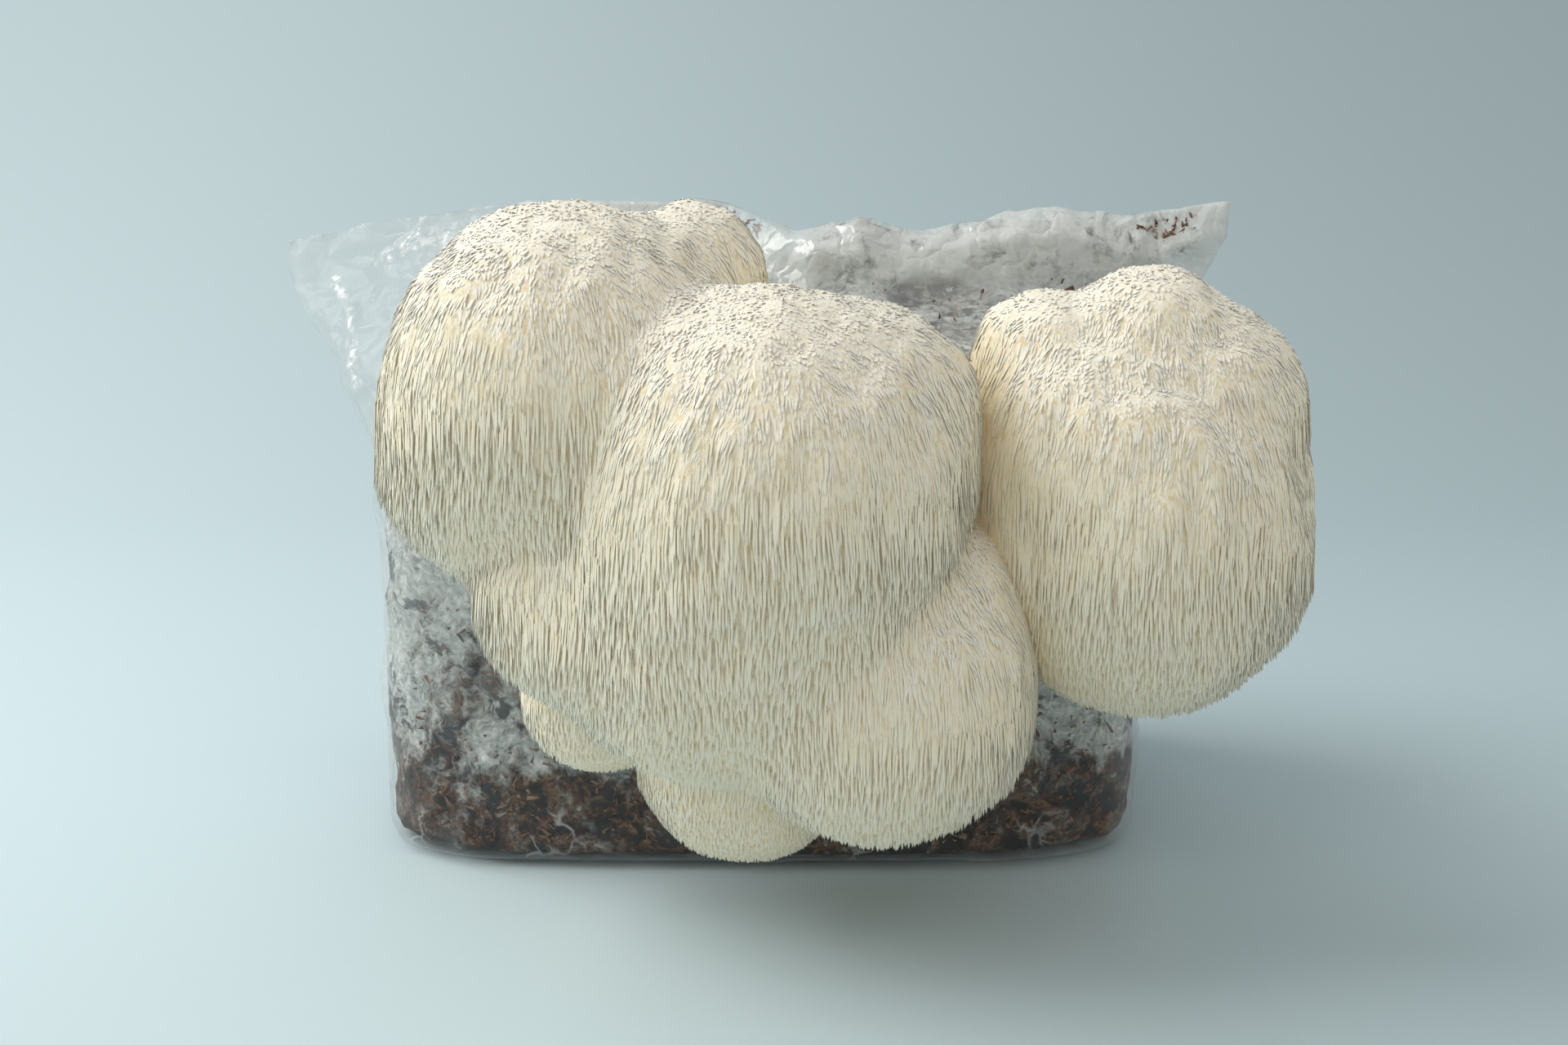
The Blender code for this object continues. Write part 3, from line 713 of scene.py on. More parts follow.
def build_film(material):
    low = np.linspace(0.0, BOTTOM_EDGE_RADIUS, 6)
    high = np.linspace(BOTTOM_EDGE_RADIUS, RIDGE_HEIGHT, FILM_ROWS - 5)[1:]
    rings = bag_rings(FILM_INSET, FILM_COLUMNS, np.concatenate([low, high]), FILM_REACHES)
    rows, count = rings.shape[:2]
    points = rings.reshape(-1, 3)
    film = mesh_piece("bag_film", points, ring_faces(rows, count), material)
    places, normals = vertex_arrays(film)
    stretched = places * np.array([0.75, 1.0, 1.15])
    creases = ridged(stretched, CREASE_SCALE, 5.0)
    crumples = ridged(places, CRUMPLE_SCALE, 6.0)
    ear = smooth_step(places[:, 2], 0.120, 0.160)
    near, white = folds_at(places)
    height = (creases - 0.7) * blend(CREASE_HEIGHT, EAR_CREASE_HEIGHT, ear)
    height = height + (crumples - 0.7) * CRUMPLE_HEIGHT + near * FOLD_HEIGHT
    height = np.clip(height, blend(-0.0006, -0.0030, ear), 0.0012)
    height = np.where(places[:, 2] < 0.003, np.minimum(height, 0.0), height)
    moved = places + normals * height[:, None]
    faces = [tuple(polygon.vertices) for polygon in film.data.polygons]
    kept = cut_opening(moved, faces)
    film.data.clear_geometry()
    film.data.from_pydata(moved.tolist(), [], kept)
    film.data.shade_smooth()
    # The whiteness of the painted fold highlights.
    set_attribute(film, "fold", white)
    set_attribute(film, "haze", haze_at(places))
    return film


clear_bag_film = film_material()
bag_film = build_film(clear_bag_film)
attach(bag_film, "root")
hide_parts("grow_bag")

# Pom-poms
# Round lobes of soft white flesh, grown in one clump and joined to the block by thick bases. The
# flesh doesn't show except at the bases and deep in the creases: all of it is covered in spines.

MAIN_CLUMP_LOBES = {
    "centre": ((0.0045, -0.1270, 0.1225), (0.0430, 0.0440, 0.0440)),
    "centre_shoulder": ((0.0325, -0.1230, 0.1410), (0.0160, 0.0200, 0.0160)),
    "centre_left_shoulder": ((-0.0240, -0.1200, 0.1430), (0.0170, 0.0200, 0.0170)),
    "centre_left": ((-0.0275, -0.1150, 0.1170), (0.0240, 0.0260, 0.0250)),
    "heart": ((-0.0080, -0.0960, 0.1080), (0.0400, 0.0260, 0.0340)),
    "left_cheek": ((-0.0425, -0.1120, 0.0925), (0.0250, 0.0270, 0.0250)),
    "belly": ((-0.0040, -0.1230, 0.0990), (0.0370, 0.0385, 0.0350)),
    "centre_low": ((-0.0130, -0.1190, 0.0830), (0.0310, 0.0330, 0.0330)),
    "lower_right": ((0.0305, -0.1240, 0.0695), (0.0345, 0.0350, 0.0345)),
    "lower_right_top": ((0.0446, -0.1170, 0.0900), (0.0190, 0.0190, 0.0190)),
    "upper_left": ((-0.0474, -0.1070, 0.1435), (0.0405, 0.0410, 0.0410)),
    "upper_left_low": ((-0.0635, -0.1050, 0.1245), (0.0250, 0.0260, 0.0280)),
    "upper_left_knob": ((-0.0160, -0.0880, 0.1680), (0.0150, 0.0150, 0.0145)),
}
RIGHT_LOBES = {
    "right": ((0.0955, -0.1080, 0.1078), (0.0390, 0.0400, 0.0450)),
    "right_shoulder": ((0.0705, -0.1030, 0.1475), (0.0155, 0.0170, 0.0150)),
    "right_lump": ((0.0960, -0.1040, 0.1515), (0.0195, 0.0200, 0.0175)),
    "right_corner": ((0.1130, -0.1050, 0.1385), (0.0195, 0.0240, 0.0195)),
    "right_middle": ((0.0800, -0.1060, 0.1270), (0.0270, 0.0320, 0.0270)),
}
LOWER_LEFT_LOBES = {"lower_left": ((-0.0410, -0.0950, 0.0600), (0.0185, 0.0190, 0.0180))}
BOTTOM_LOBES = {"bottom": ((-0.0035, -0.1000, 0.0458), (0.0262, 0.0250, 0.0262))}
CLUMP_BASE = {"x": 0.008, "z": 0.100, "radius": 0.029}
RIGHT_BASE = {"x": 0.078, "z": 0.104, "radius": 0.013}
BASE_FRONT_Y = -0.100
BASE_BACK_Y = -0.064

FLESH_PITCH = 0.0024
# Lobes of one group melt into one another. Groups meet in a crease, apart from where they share
# a lobe.
CENTRE_GROUP = (
    "centre", "centre_shoulder", "centre_left_shoulder", "centre_left", "belly", "heart",
)
LOWER_GROUP = ("belly", "left_cheek", "centre_low", "lower_right", "lower_right_top")
UPPER_LEFT_GROUP = ("upper_left", "upper_left_low", "upper_left_knob", "centre_left")
GROWN_TOGETHER = 0.0060
GROWN_TOGETHER_RIGHT = 0.0032
CREASED = 0.0018
FLESH_SWELL = 0.0015
KNOB_SCALE = 75.0
KNOB_HEIGHT = 0.0010
TUFT_SCALE = 185.0
TUFT_STRETCH = np.array([1.0, 1.0, 0.45])
TUFT_HEIGHT = 0.0011
FRONT_OF_BAG = -0.068
# A painted glow, given as emission to the flesh and the spines, for the light that has soaked
# through the white flesh, which keeps its gaps warm and soft
SOAKED_LIGHT = (1.0, 0.80, 0.52, 1.0)
SOAKED_LIGHT_STRENGTH = 0.050


def flesh_material():
    """Cream flesh, streaked along the hang of the spines. It is painted tan, as the warm shade it lies
    in deep between the spines and in the creases, and paler on top, as painted light.
    """
    material, tree, shader = new_material("pom_pom_flesh", 0.75)
    coordinates = add_node(tree, "ShaderNodeTexCoord", (-1100, 0))
    hang = add_node(tree, "ShaderNodeMapping", (-900, 0))
    hang.inputs["Scale"].default_value = (1.0, 1.0, 0.12)
    tree.links.new(coordinates.outputs["Object"], hang.inputs["Vector"])
    streaks = add_node(tree, "ShaderNodeTexNoise", (-700, 0), Scale=1300.0, Detail=2.0)
    tree.links.new(hang.outputs["Vector"], streaks.inputs["Vector"])
    # Tan to cream: painted warm shade, for flesh that shows only down in the gaps.
    colour = add_ramp(tree, (-450, 0), (
        (0.34, (0.740, 0.610, 0.380)),
        (0.50, (0.860, 0.770, 0.570)),
        (0.66, (0.920, 0.870, 0.720)),
    ))
    tree.links.new(streaks.outputs["Fac"], colour.inputs["Fac"])
    # Paler where the skin faces up: painted light on the tops.
    lit_top = add_ramp(tree, (-450, 300), (
        (0.36, (0.860, 0.780, 0.580)),
        (0.60, (0.945, 0.935, 0.850)),
    ))
    tree.links.new(streaks.outputs["Fac"], lit_top.inputs["Fac"])
    top_share = add_attribute(tree, (-450, 550), "top_share")
    mixed = add_mix(
        tree, (-150, 150), top_share.outputs["Fac"], colour.outputs["Color"],
        lit_top.outputs["Color"],
    )
    tree.links.new(mixed, shader.inputs["Base Color"])
    # Emission: a painted glow for the light soaked through the flesh.
    shader.inputs["Emission Color"].default_value = SOAKED_LIGHT
    shader.inputs["Emission Strength"].default_value = SOAKED_LIGHT_STRENGTH
    bump = add_node(tree, "ShaderNodeBump", (-300, -300))
    bump.inputs["Strength"].default_value = 0.6
    bump.inputs["Distance"].default_value = 0.0005
    tree.links.new(streaks.outputs["Fac"], bump.inputs["Height"])
    tree.links.new(bump.outputs["Normal"], shader.inputs["Normal"])
    return material


def lobe_sphere(centre, sizes, points, faces):
    """Adds a round lobe to lists of points and faces."""
    rings = 20
    around = 36
    first = len(points)
    points.append((centre[0], centre[1], centre[2] + sizes[2]))
    for ring in range(1, rings):
        tilt = math.pi * ring / rings
        for i in range(around):
            turn = 2.0 * math.pi * i / around
            points.append((
                centre[0] + sizes[0] * math.sin(tilt) * math.cos(turn),
                centre[1] + sizes[1] * math.sin(tilt) * math.sin(turn),
                centre[2] + sizes[2] * math.cos(tilt),
            ))
    points.append((centre[0], centre[1], centre[2] - sizes[2]))
    last = len(points) - 1
    for i in range(around):
        j = (i + 1) % around
        faces.append((first, first + 1 + i, first + 1 + j))
        low = first + 1 + (rings - 2) * around
        faces.append((last, low + j, low + i))
        for ring in range(rings - 2):
            a = first + 1 + ring * around
            faces.append((a + i, a + around + i, a + around + j, a + j))


def base_tube(base, points, faces):
    """Adds a thick base, from inside the lobes back to the block, to lists of points and faces."""
    around = 32
    first = len(points)
    for y in (BASE_FRONT_Y, BASE_BACK_Y):
        for i in range(around):
            turn = 2.0 * math.pi * i / around
            points.append((
                base["x"] + base["radius"] * math.cos(turn),
                y,
                base["z"] + base["radius"] * math.sin(turn),
            ))
    for i in range(around):
        j = (i + 1) % around
        faces.append((first + i, first + j, first + around + j, first + around + i))
    faces.append(tuple(range(first, first + around))[::-1])
    faces.append(tuple(range(first + around, first + 2 * around)))


def soft_join(distances, directions, softness):
    """Distance to several forms that have grown together, and the way out of them."""
    weights = np.exp(-(distances - distances.min(axis=1)[:, None]) / softness)
    total = weights.sum(axis=1)
    joined = distances.min(axis=1) - softness * np.log(total)
    way_out = (directions * weights[:, :, None]).sum(axis=1) / total[:, None]
    return joined, way_out


def lobes_distance(points, lobes, groups, softness):
    """Distance to the lobes, which melt into one another within each group."""
    centres = np.array([centre for centre, _ in lobes.values()])
    sizes = np.array([size for _, size in lobes.values()])
    scaled = (points[:, None, :] - centres) / sizes
    reach = np.linalg.norm(scaled, axis=2)
    slope = np.linalg.norm(scaled / sizes, axis=2)
    distances = reach * (reach - 1.0) / slope
    directions = scaled / sizes / slope[:, :, None]
    sides = []
    for group in groups:
        own = np.array([name in group for name in lobes])
        sides.append(soft_join(distances[:, own], directions[:, own], softness))
    return soft_join(
        np.stack([side[0] for side in sides], axis=1),
        np.stack([side[1] for side in sides], axis=1),
        CREASED,
    )


def even_skin(flesh, softening):
    """Redraws a mesh as one skin of even quads."""
    remesh = flesh.modifiers.new("one_skin", "REMESH")
    remesh.mode = "VOXEL"
    remesh.voxel_size = FLESH_PITCH
    soften = flesh.modifiers.new("soften", "SMOOTH")
    soften.factor = 0.5
    soften.iterations = softening
    depsgraph = bpy.context.evaluated_depsgraph_get()
    drawn = bpy.data.meshes.new_from_object(flesh.evaluated_get(depsgraph))
    flesh.modifiers.clear()
    flesh.data = drawn
    flesh.data.shade_smooth()


def build_flesh(name, lobes, groups, softness, base, material):
    """One skin over overlapping lobes, with soft creases and small knobs."""
    points = []
    faces = []
    for centre, sizes in lobes.values():
        lobe_sphere(centre, sizes, points, faces)
    if base:
        base_tube(base, points, faces)
    flesh = mesh_piece(name, points, faces, material)
    even_skin(flesh, 2)
    for _ in range(3):
        places, _ = vertex_arrays(flesh)
        distance, way_out = lobes_distance(places, lobes, groups, softness)
        move_vertices(flesh, places + way_out * np.clip(-distance, 0.0, None)[:, None])
    even_skin(flesh, 4)
    places, normals = vertex_arrays(flesh)
    knobs = FLESH_SWELL + noise_at(places, KNOB_SCALE, 3.0) * KNOB_HEIGHT
    tufts = noise_at(places * TUFT_STRETCH, TUFT_SCALE, 21.0) * TUFT_HEIGHT
    knobs = knobs + tufts * smooth_step(normals[:, 2], -0.35, 0.25)
    places = places + normals * knobs[:, None]
    in_bag = places[:, 1] > FRONT_OF_BAG
    free = np.hypot(places[:, 0] - 0.03, places[:, 2] - 0.10) > 0.05
    places[:, 1] = np.where(in_bag & free, FRONT_OF_BAG, places[:, 1])
    move_vertices(flesh, places)
    return flesh


pom_pom_flesh = flesh_material()
main_clump_flesh = build_flesh(
    "main_clump_flesh",
    MAIN_CLUMP_LOBES,
    (CENTRE_GROUP, LOWER_GROUP, UPPER_LEFT_GROUP),
    GROWN_TOGETHER,
    CLUMP_BASE,
    pom_pom_flesh,
)
right_flesh = build_flesh(
    "right_pom_pom_flesh",
    RIGHT_LOBES,
    (tuple(RIGHT_LOBES),),
    GROWN_TOGETHER_RIGHT,
    RIGHT_BASE,
    pom_pom_flesh,
)
lower_left_flesh = build_flesh(
    "lower_left_pom_pom_flesh",
    LOWER_LEFT_LOBES,
    (tuple(LOWER_LEFT_LOBES),),
    GROWN_TOGETHER,
    None,
    pom_pom_flesh,
)
bottom_flesh = build_flesh(
    "bottom_pom_pom_flesh",
    BOTTOM_LOBES,
    (tuple(BOTTOM_LOBES),),
    GROWN_TOGETHER,
    None,
    pom_pom_flesh,
)
for flesh_piece, node in (
    (main_clump_flesh, "main_clump"),
    (right_flesh, "right_pom_pom"),
    (lower_left_flesh, "lower_left_pom_pom"),
    (bottom_flesh, "bottom_pom_pom"),
):
    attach(flesh_piece, "root")
    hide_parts(node)

# Spines
# Soft tapered spines, about 0.9 mm thick, grow from all of the flesh. They are stubby on top of a
# pom-pom, lie along its shoulders, and hang straight down from its sides and from underneath,
# gathered in small locks. Their colour holds painted shade, tan at their bases, which show between
# them, and in the creases, and painted light, whiter on top.

SPINE_STATIONS = (0.0, 0.30, 0.80, 1.0)
SPINE_RADII = (0.00031, 0.00036, 0.00023)
SPINE_SIDES = 3
# Length by how far up the skin looks: 1 on top, 0 at the sides, -1 underneath
SPINE_LENGTHS = (
    (-1.0, 0.0024), (-0.65, 0.0036), (-0.35, 0.0058), (0.0, 0.0088), (0.20, 0.0092),
    (0.45, 0.0062), (0.62, 0.0036), (0.75, 0.0021), (0.90, 0.0014),
)
STANDOFF = 0.00078
FLESH_FILL = 0.00058
FLESH_FILL_ON_TOP = 0.00062
YOUNG_STUBBINESS = 0.55
FLOW_SCALE = 45.0
FLOW_SWAY = 0.14
LOOK_ROUND = 12
LOOK_FAR = 0.070
SIDE_COVER = 0.66
TOP_COVER = 0.95
HIDDEN_COVER = 0.14
BACK_COVER = 0.60
LOCK_EVERY = 9
LOCK_STRETCH = np.array([1.0, 1.0, 0.55])
LOCK_GATHER = 0.34
SKIN_SHADING = 0.70
BAG_CLEARANCE = 0.0035
NEIGHBOUR_CLEARANCE = 0.0004


def spine_material():
    """Cream-white spines, painted tan towards their bases as shade. OFBake's U runs from base to tip,
    its
    V from tan to white: partly at random, partly painted shade in the creases and painted light on
    top.
    """
    material, tree, shader = new_material("hanging_spines", 0.62)
    place = add_node(tree, "ShaderNodeUVMap", (-1000, 0), uv_map="OFBake")
    parts = add_node(tree, "ShaderNodeSeparateXYZ", (-800, 0))
    tree.links.new(place.outputs["UV"], parts.inputs["Vector"])
    # Both ramps darken towards the base: painted shade, where spines lie under their neighbours.
    pale = add_ramp(tree, (-600, 150), (
        (0.0, (0.900, 0.840, 0.680)),
        (0.35, (0.935, 0.900, 0.790)),
        (0.75, (0.950, 0.935, 0.850)),
        (1.0, (0.955, 0.945, 0.880)),
    ))
    tan = add_ramp(tree, (-600, -150), (
        (0.0, (0.700, 0.540, 0.300)),
        (0.35, (0.820, 0.720, 0.470)),
        (0.75, (0.880, 0.820, 0.600)),
        (1.0, (0.900, 0.850, 0.650)),
    ))
    tree.links.new(parts.outputs["X"], pale.inputs["Fac"])
    tree.links.new(parts.outputs["X"], tan.inputs["Fac"])
    # V mixes tan into white: tan is painted shade in creases and down the sides, white is painted
    # light on top, and locks and spines differ at random too.
    colour = add_node(tree, "ShaderNodeMix", (-250, 0), data_type="RGBA")
    tree.links.new(parts.outputs["Y"], colour.inputs["Factor"])
    tree.links.new(tan.outputs["Color"], colour.inputs[6])
    tree.links.new(pale.outputs["Color"], colour.inputs[7])
    tree.links.new(colour.outputs[2], shader.inputs["Base Color"])
    coordinates = add_node(tree, "ShaderNodeTexCoord", (-800, -500))
    fibre = add_node(tree, "ShaderNodeTexNoise", (-600, -500), Scale=1500.0, Detail=2.0)
    tree.links.new(coordinates.outputs["Object"], fibre.inputs["Vector"])
    bump = add_node(tree, "ShaderNodeBump", (-250, -400))
    bump.inputs["Strength"].default_value = 0.4
    bump.inputs["Distance"].default_value = 0.0002
    tree.links.new(fibre.outputs["Fac"], bump.inputs["Height"])
    tree.links.new(bump.outputs["Normal"], shader.inputs["Normal"])
    shader.inputs["Specular IOR Level"].default_value = 0.2
    # Emission: a painted glow for the light soaked through the flesh.
    shader.inputs["Emission Color"].default_value = SOAKED_LIGHT
    shader.inputs["Emission Strength"].default_value = SOAKED_LIGHT_STRENGTH
    return material


def unit(vectors):
    return vectors / np.maximum(np.linalg.norm(vectors, axis=1), 1e-9)[:, None]


def skin_tree(piece):
    return BVHTree.FromPolygons(
        [vertex.co for vertex in piece.data.vertices],
        [tuple(polygon.vertices) for polygon in piece.data.polygons],
    )


def nearest_skin(tree, points):
    """Signed distance to a closed skin and its outward direction there, for each point."""
    distances = np.empty(len(points))
    directions = np.empty((len(points), 3))
    for i, point in enumerate(points.tolist()):
        place, normal, _, distance = tree.find_nearest(point)
        distances[i] = distance if normal.dot(Vector(point) - place) > 0.0 else -distance
        directions[i] = normal
    return distances, directions


def bag_distance(points):
    """Distance in front of the bag, and far where the bag isn't behind a point."""
    x, y, z = points.T
    reach = np.where(x < 0, read_off(LEFT_REACH, z), read_off(RIGHT_REACH, z))
    beside = (z > RIDGE_HEIGHT + 0.002) | (np.abs(x) > reach)
    return np.where(beside, 1.0, bag_lean(x, z) - bag_half_depth(x, z) - y)


def openness(points, directions, trees):
    """How open the view is from each point on the skin: 1 in the open, 0 deep in a crease."""
    random = np.random.default_rng(5)
    looks = unit(random.normal(0.0, 1.0, (LOOK_ROUND, 3)))
    free = np.zeros(len(points))
    starts = points + directions * 0.0015
    for look in looks:
        headings = unit(directions * 1.1 + look)
        for i, (start, heading) in enumerate(zip(starts.tolist(), headings.tolist())):
            free[i] += all(tree.ray_cast(start, heading, LOOK_FAR)[0] is None for tree in trees)
    return free / LOOK_ROUND


def spine_roots(flesh, random):
    """Four roots on each quad of the flesh, one in each quarter, with the skin's direction."""
    mesh = flesh.data
    places, normals = vertex_arrays(flesh)
    quads = np.array([tuple(p.vertices) for p in mesh.polygons if len(p.vertices) == 4])
    roots = []
    directions = []
    for row in (0.0, 0.5):
        for column in (0.0, 0.5):
            a = row + 0.5 * random.random(len(quads))
            b = column + 0.5 * random.random(len(quads))
            weights = np.stack([(1 - a) * (1 - b), a * (1 - b), a * b, (1 - a) * b], axis=1)
            roots.append((places[quads] * weights[:, :, None]).sum(axis=1))
            directions.append((normals[quads] * weights[:, :, None]).sum(axis=1))
    return np.concatenate(roots), unit(np.concatenate(directions))


def find_locks(roots, random):
    """Shares the roots out in locks of neighbours. Gives each root's lock, and the locks' leaders."""
    leaders = random.permutation(len(roots))[: max(1, len(roots) // LOCK_EVERY)]
    tree = KDTree(len(leaders))
    for i, leader in enumerate(leaders):
        tree.insert(roots[leader] * LOCK_STRETCH, i)
    tree.balance()
    return np.array([tree.find(point)[1] for point in (roots * LOCK_STRETCH).tolist()]), leaders


def grow_spines(roots, directions, locks, leaders, tree, random, stubbiness):
    """Station points of each spine, out of the skin and then down along it under gravity.

    The ends of a lock's spines are drawn together. Gives the way out of the skin too.
    """
    count = len(roots)
    up = directions[:, 2]
    length = read_off(SPINE_LENGTHS, up) * (0.72 + 0.56 * random.random(count)) * stubbiness
    standing = smooth_step(up, 0.72, 0.96)
    wander = random.normal(0.0, 1.0, (count, 3))
    sideways = unit(wander - directions * (wander * directions).sum(axis=1)[:, None])
    sideways = sideways * (0.06 + 1.10 * standing)[:, None] * random.random(count)[:, None]
    flow = np.stack([noise_at(roots, FLOW_SCALE, seed) for seed in (7.0, 8.0, 9.0)], axis=1)
    sideways = sideways + flow * FLOW_SWAY
    down = np.array([0.0, 0.0, -1.0])
    lock_lift = 0.80 + 0.55 * random.random(len(leaders))[locks]
    lock_lift = blend(1.0, lock_lift, smooth_step(up, -0.45, 0.20))
    standoff = STANDOFF * lock_lift * (0.85 + 0.30 * random.random(count))
    outwards = ((0.34, 0.80), (0.06, 0.50), (0.02, 0.35))
    stations = [roots - directions * 0.0004]
    ways_out = [directions]
    for step, (out_side, out_top) in enumerate(outwards):
        part = SPINE_STATIONS[step + 1] - SPINE_STATIONS[step]
        out = blend(out_side, out_top, standing)[:, None]
        heading = unit(ways_out[-1] * out + down * (1.0 - out) + sideways)
        point = stations[-1] + heading * (length * part)[:, None]
        distance, way_out = nearest_skin(tree, point)
        lift = np.clip(standoff * SPINE_STATIONS[step + 1] ** 0.5 - distance, 0.0, None)
        stations.append(point + way_out * lift[:, None])
        ways_out.append(way_out)
    stations = np.array(stations).transpose(1, 0, 2)
    leading = stations[leaders][locks]
    gather = LOCK_GATHER * smooth_step(up, -0.30, 0.30) * (1.0 - standing)
    pull = (leading - stations) * (np.array(SPINE_STATIONS) ** 1.6)[None, :, None]
    pull[:, :, 2] *= 0.3
    near = 1.0 - smooth_step(np.linalg.norm(leading[:, 0] - roots, axis=1), 0.003, 0.006)
    stations = stations + pull * (gather * near)[:, None, None]
    return stations, np.array(ways_out).transpose(1, 0, 2)


def spine_mesh(name, stations, ways_out, tones_and_shade, thickness, material):
    """Builds every spine as a tapered rod with a flat side outwards, rooted in the flesh."""
    count = len(stations)
    rings = len(SPINE_RADII)
    heading = np.gradient(stations, axis=1)
    heading = heading / np.maximum(np.linalg.norm(heading, axis=2), 1e-9)[:, :, None]
    outer = ways_out + np.array([0.02, -0.03, 0.01])
    outer = outer - heading * (heading * outer).sum(axis=2)[:, :, None]
    outer = outer / np.maximum(np.linalg.norm(outer, axis=2), 1e-9)[:, :, None]
    side = np.cross(heading, outer)
    radii = np.array(SPINE_RADII)[None, :] * thickness[:, None]
    turns = 2.0 * np.pi * (np.arange(SPINE_SIDES) + 0.5) / SPINE_SIDES
    around = (
        outer[:, :rings, None, :] * np.cos(turns)[None, None, :, None]
        + side[:, :rings, None, :] * np.sin(turns)[None, None, :, None]
    )
    skin = stations[:, :rings, None, :] + around * radii[:, :, None, None]
    skin = skin.reshape(count, rings * SPINE_SIDES, 3)
    points = np.concatenate([skin, stations[:, -1:, :]], axis=1)
    looks = blend(around, ways_out[:, :rings, None, :], SKIN_SHADING)
    looks = looks.reshape(count, rings * SPINE_SIDES, 3)
    looks = np.concatenate([looks, blend(heading, ways_out, SKIN_SHADING)[:, -1:, :]], axis=1)
    each = rings * SPINE_SIDES + 1
    walls = []
    wall_places = []
    ends = []
    end_places = []
    width = 0.006
    for i in range(SPINE_SIDES):
        j = (i + 1) % SPINE_SIDES
        for ring in range(rings - 1):
            low = ring * SPINE_SIDES
            high = low + SPINE_SIDES
            walls.append((low + i, low + j, high + j, high + i))
            start, end = SPINE_STATIONS[ring], SPINE_STATIONS[ring + 1]
            wall_places.append(((start, 0.0), (start, width), (end, width), (end, 0.0)))
        low = (rings - 1) * SPINE_SIDES
        ends.append((low + i, low + j, each - 1))
        end_places.append(((SPINE_STATIONS[-2], 0.0), (SPINE_STATIONS[-2], width), (1.0, 0.0)))
    offsets = np.arange(count)[:, None, None] * each
    wall_faces = (np.array(walls)[None] + offsets).reshape(-1, 4)
    end_faces = (np.array(ends)[None] + offsets).reshape(-1, 3)
    piece = mesh_piece(
        name, points.reshape(-1, 3), wall_faces.tolist() + end_faces.tolist(), material
    )
    # V carries each spine's mix of random colour, painted shade and painted light.
    tone_and_shade = np.stack([np.zeros(count), 0.01 + 0.97 * np.clip(tones_and_shade, 0.0, 1.0)], axis=1)
    wall_uv = np.array(wall_places)[None] + tone_and_shade[:, None, None, :]
    end_uv = np.array(end_places)[None] + tone_and_shade[:, None, None, :]
    layer = piece.data.uv_layers.new(name="OFBake")
    layer.data.foreach_set("uv", np.concatenate([wall_uv.ravel(), end_uv.ravel()]))
    piece.data.normals_split_custom_set_from_vertices(unit(looks.reshape(-1, 3)).tolist())
    return piece


def cover_in_spines(flesh, neighbours, seed, stubbiness=1.0):
    """Stations, ways out, tone, thickness and root of every spine that has room to grow."""
    random = np.random.default_rng(seed)
    tree = skin_tree(flesh)
    others = [skin_tree(neighbour) for neighbour in neighbours]
    roots, directions = spine_roots(flesh, random)
    room = bag_distance(roots) > BAG_CLEARANCE
    roots, directions = roots[room], directions[room]
    is_open = openness(roots, directions, [tree, *others, bag_tree])
    full = blend(SIDE_COVER, TOP_COVER, smooth_step(directions[:, 2], 0.25, 0.75))
    cover = blend(HIDDEN_COVER, full, smooth_step(is_open, 0.0, 0.45))
    back = smooth_step(directions[:, 1], 0.15, 0.45)
    cover = cover * blend(1.0, BACK_COVER, back)
    kept = random.random(len(roots)) < cover
    roots, directions, is_open, back = roots[kept], directions[kept], is_open[kept], back[kept]
    locks, leaders = find_locks(roots, random)
    stations, ways_out = grow_spines(
        roots, directions, locks, leaders, tree, random, stubbiness
    )
    room = bag_distance(stations[:, -1]) > BAG_CLEARANCE * 0.4
    for other in others:
        distance, _ = nearest_skin(other, stations[:, 2])
        room &= distance > NEIGHBOUR_CLEARANCE
    # Where each spine sits between tan and white: random for its lock and for itself, painted shade
    # where a crease closes in the view, and painted light where the skin faces up.
    lock_tone = random.random(len(leaders))[locks]
    tone_and_shade = 0.05 + 0.20 * lock_tone + 0.30 * (random.random(len(roots)) - 0.3)
    tone_and_shade = tone_and_shade + 0.20 * smooth_step(is_open, 0.2, 0.9)
    tone_and_shade = tone_and_shade + 0.75 * smooth_step(directions[:, 2], 0.2, 0.8)
    thickness = (0.85 + 0.30 * random.random(len(roots))) * (1.0 + 0.2 * back)
    thickness = thickness * (1.0 + 0.65 * smooth_step(directions[:, 2], 0.60, 0.90))
    return [part[room] for part in (stations, ways_out, tone_and_shade, thickness, roots)]


def nearest_lobe(points, lobes):
    """The number of the lobe that each point lies on."""
    centres = np.array([centre for centre, _ in lobes.values()])
    sizes = np.array([size for _, size in lobes.values()])
    reach = np.linalg.norm((points[:, None, :] - centres) / sizes, axis=2)
    return reach.argmin(axis=1)


hanging_spines = spine_material()
bag_tree = skin_tree(bag_film)


def hang_spines(node, flesh, lobes, cover, groups):
    """Makes a pom-pom's spines, in one piece for each group of its lobes.

    The flesh then swells up between them, so that the lowest spines are half sunk in it.
    """
    places, normals = vertex_arrays(flesh)
    top_share = smooth_step(normals[:, 2], 0.45, 0.85)
    fill = blend(FLESH_FILL, FLESH_FILL_ON_TOP, top_share)
    move_vertices(flesh, places + normals * fill[:, None])
    # The same share paints the flesh paler on top: painted light.
    set_attribute(flesh, "top_share", top_share)
    lobe_names = list(lobes)
    lobe_of_root = nearest_lobe(cover[-1], lobes)
    for name, group_lobes in groups.items():
        own = np.isin(lobe_of_root, [lobe_names.index(lobe) for lobe in group_lobes])
        stations, ways_out, tones_and_shade, thickness, _ = [part[own] for part in cover]
        spines = spine_mesh(name, stations, ways_out, tones_and_shade, thickness, hanging_spines)
        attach(spines, "root")
        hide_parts(node)


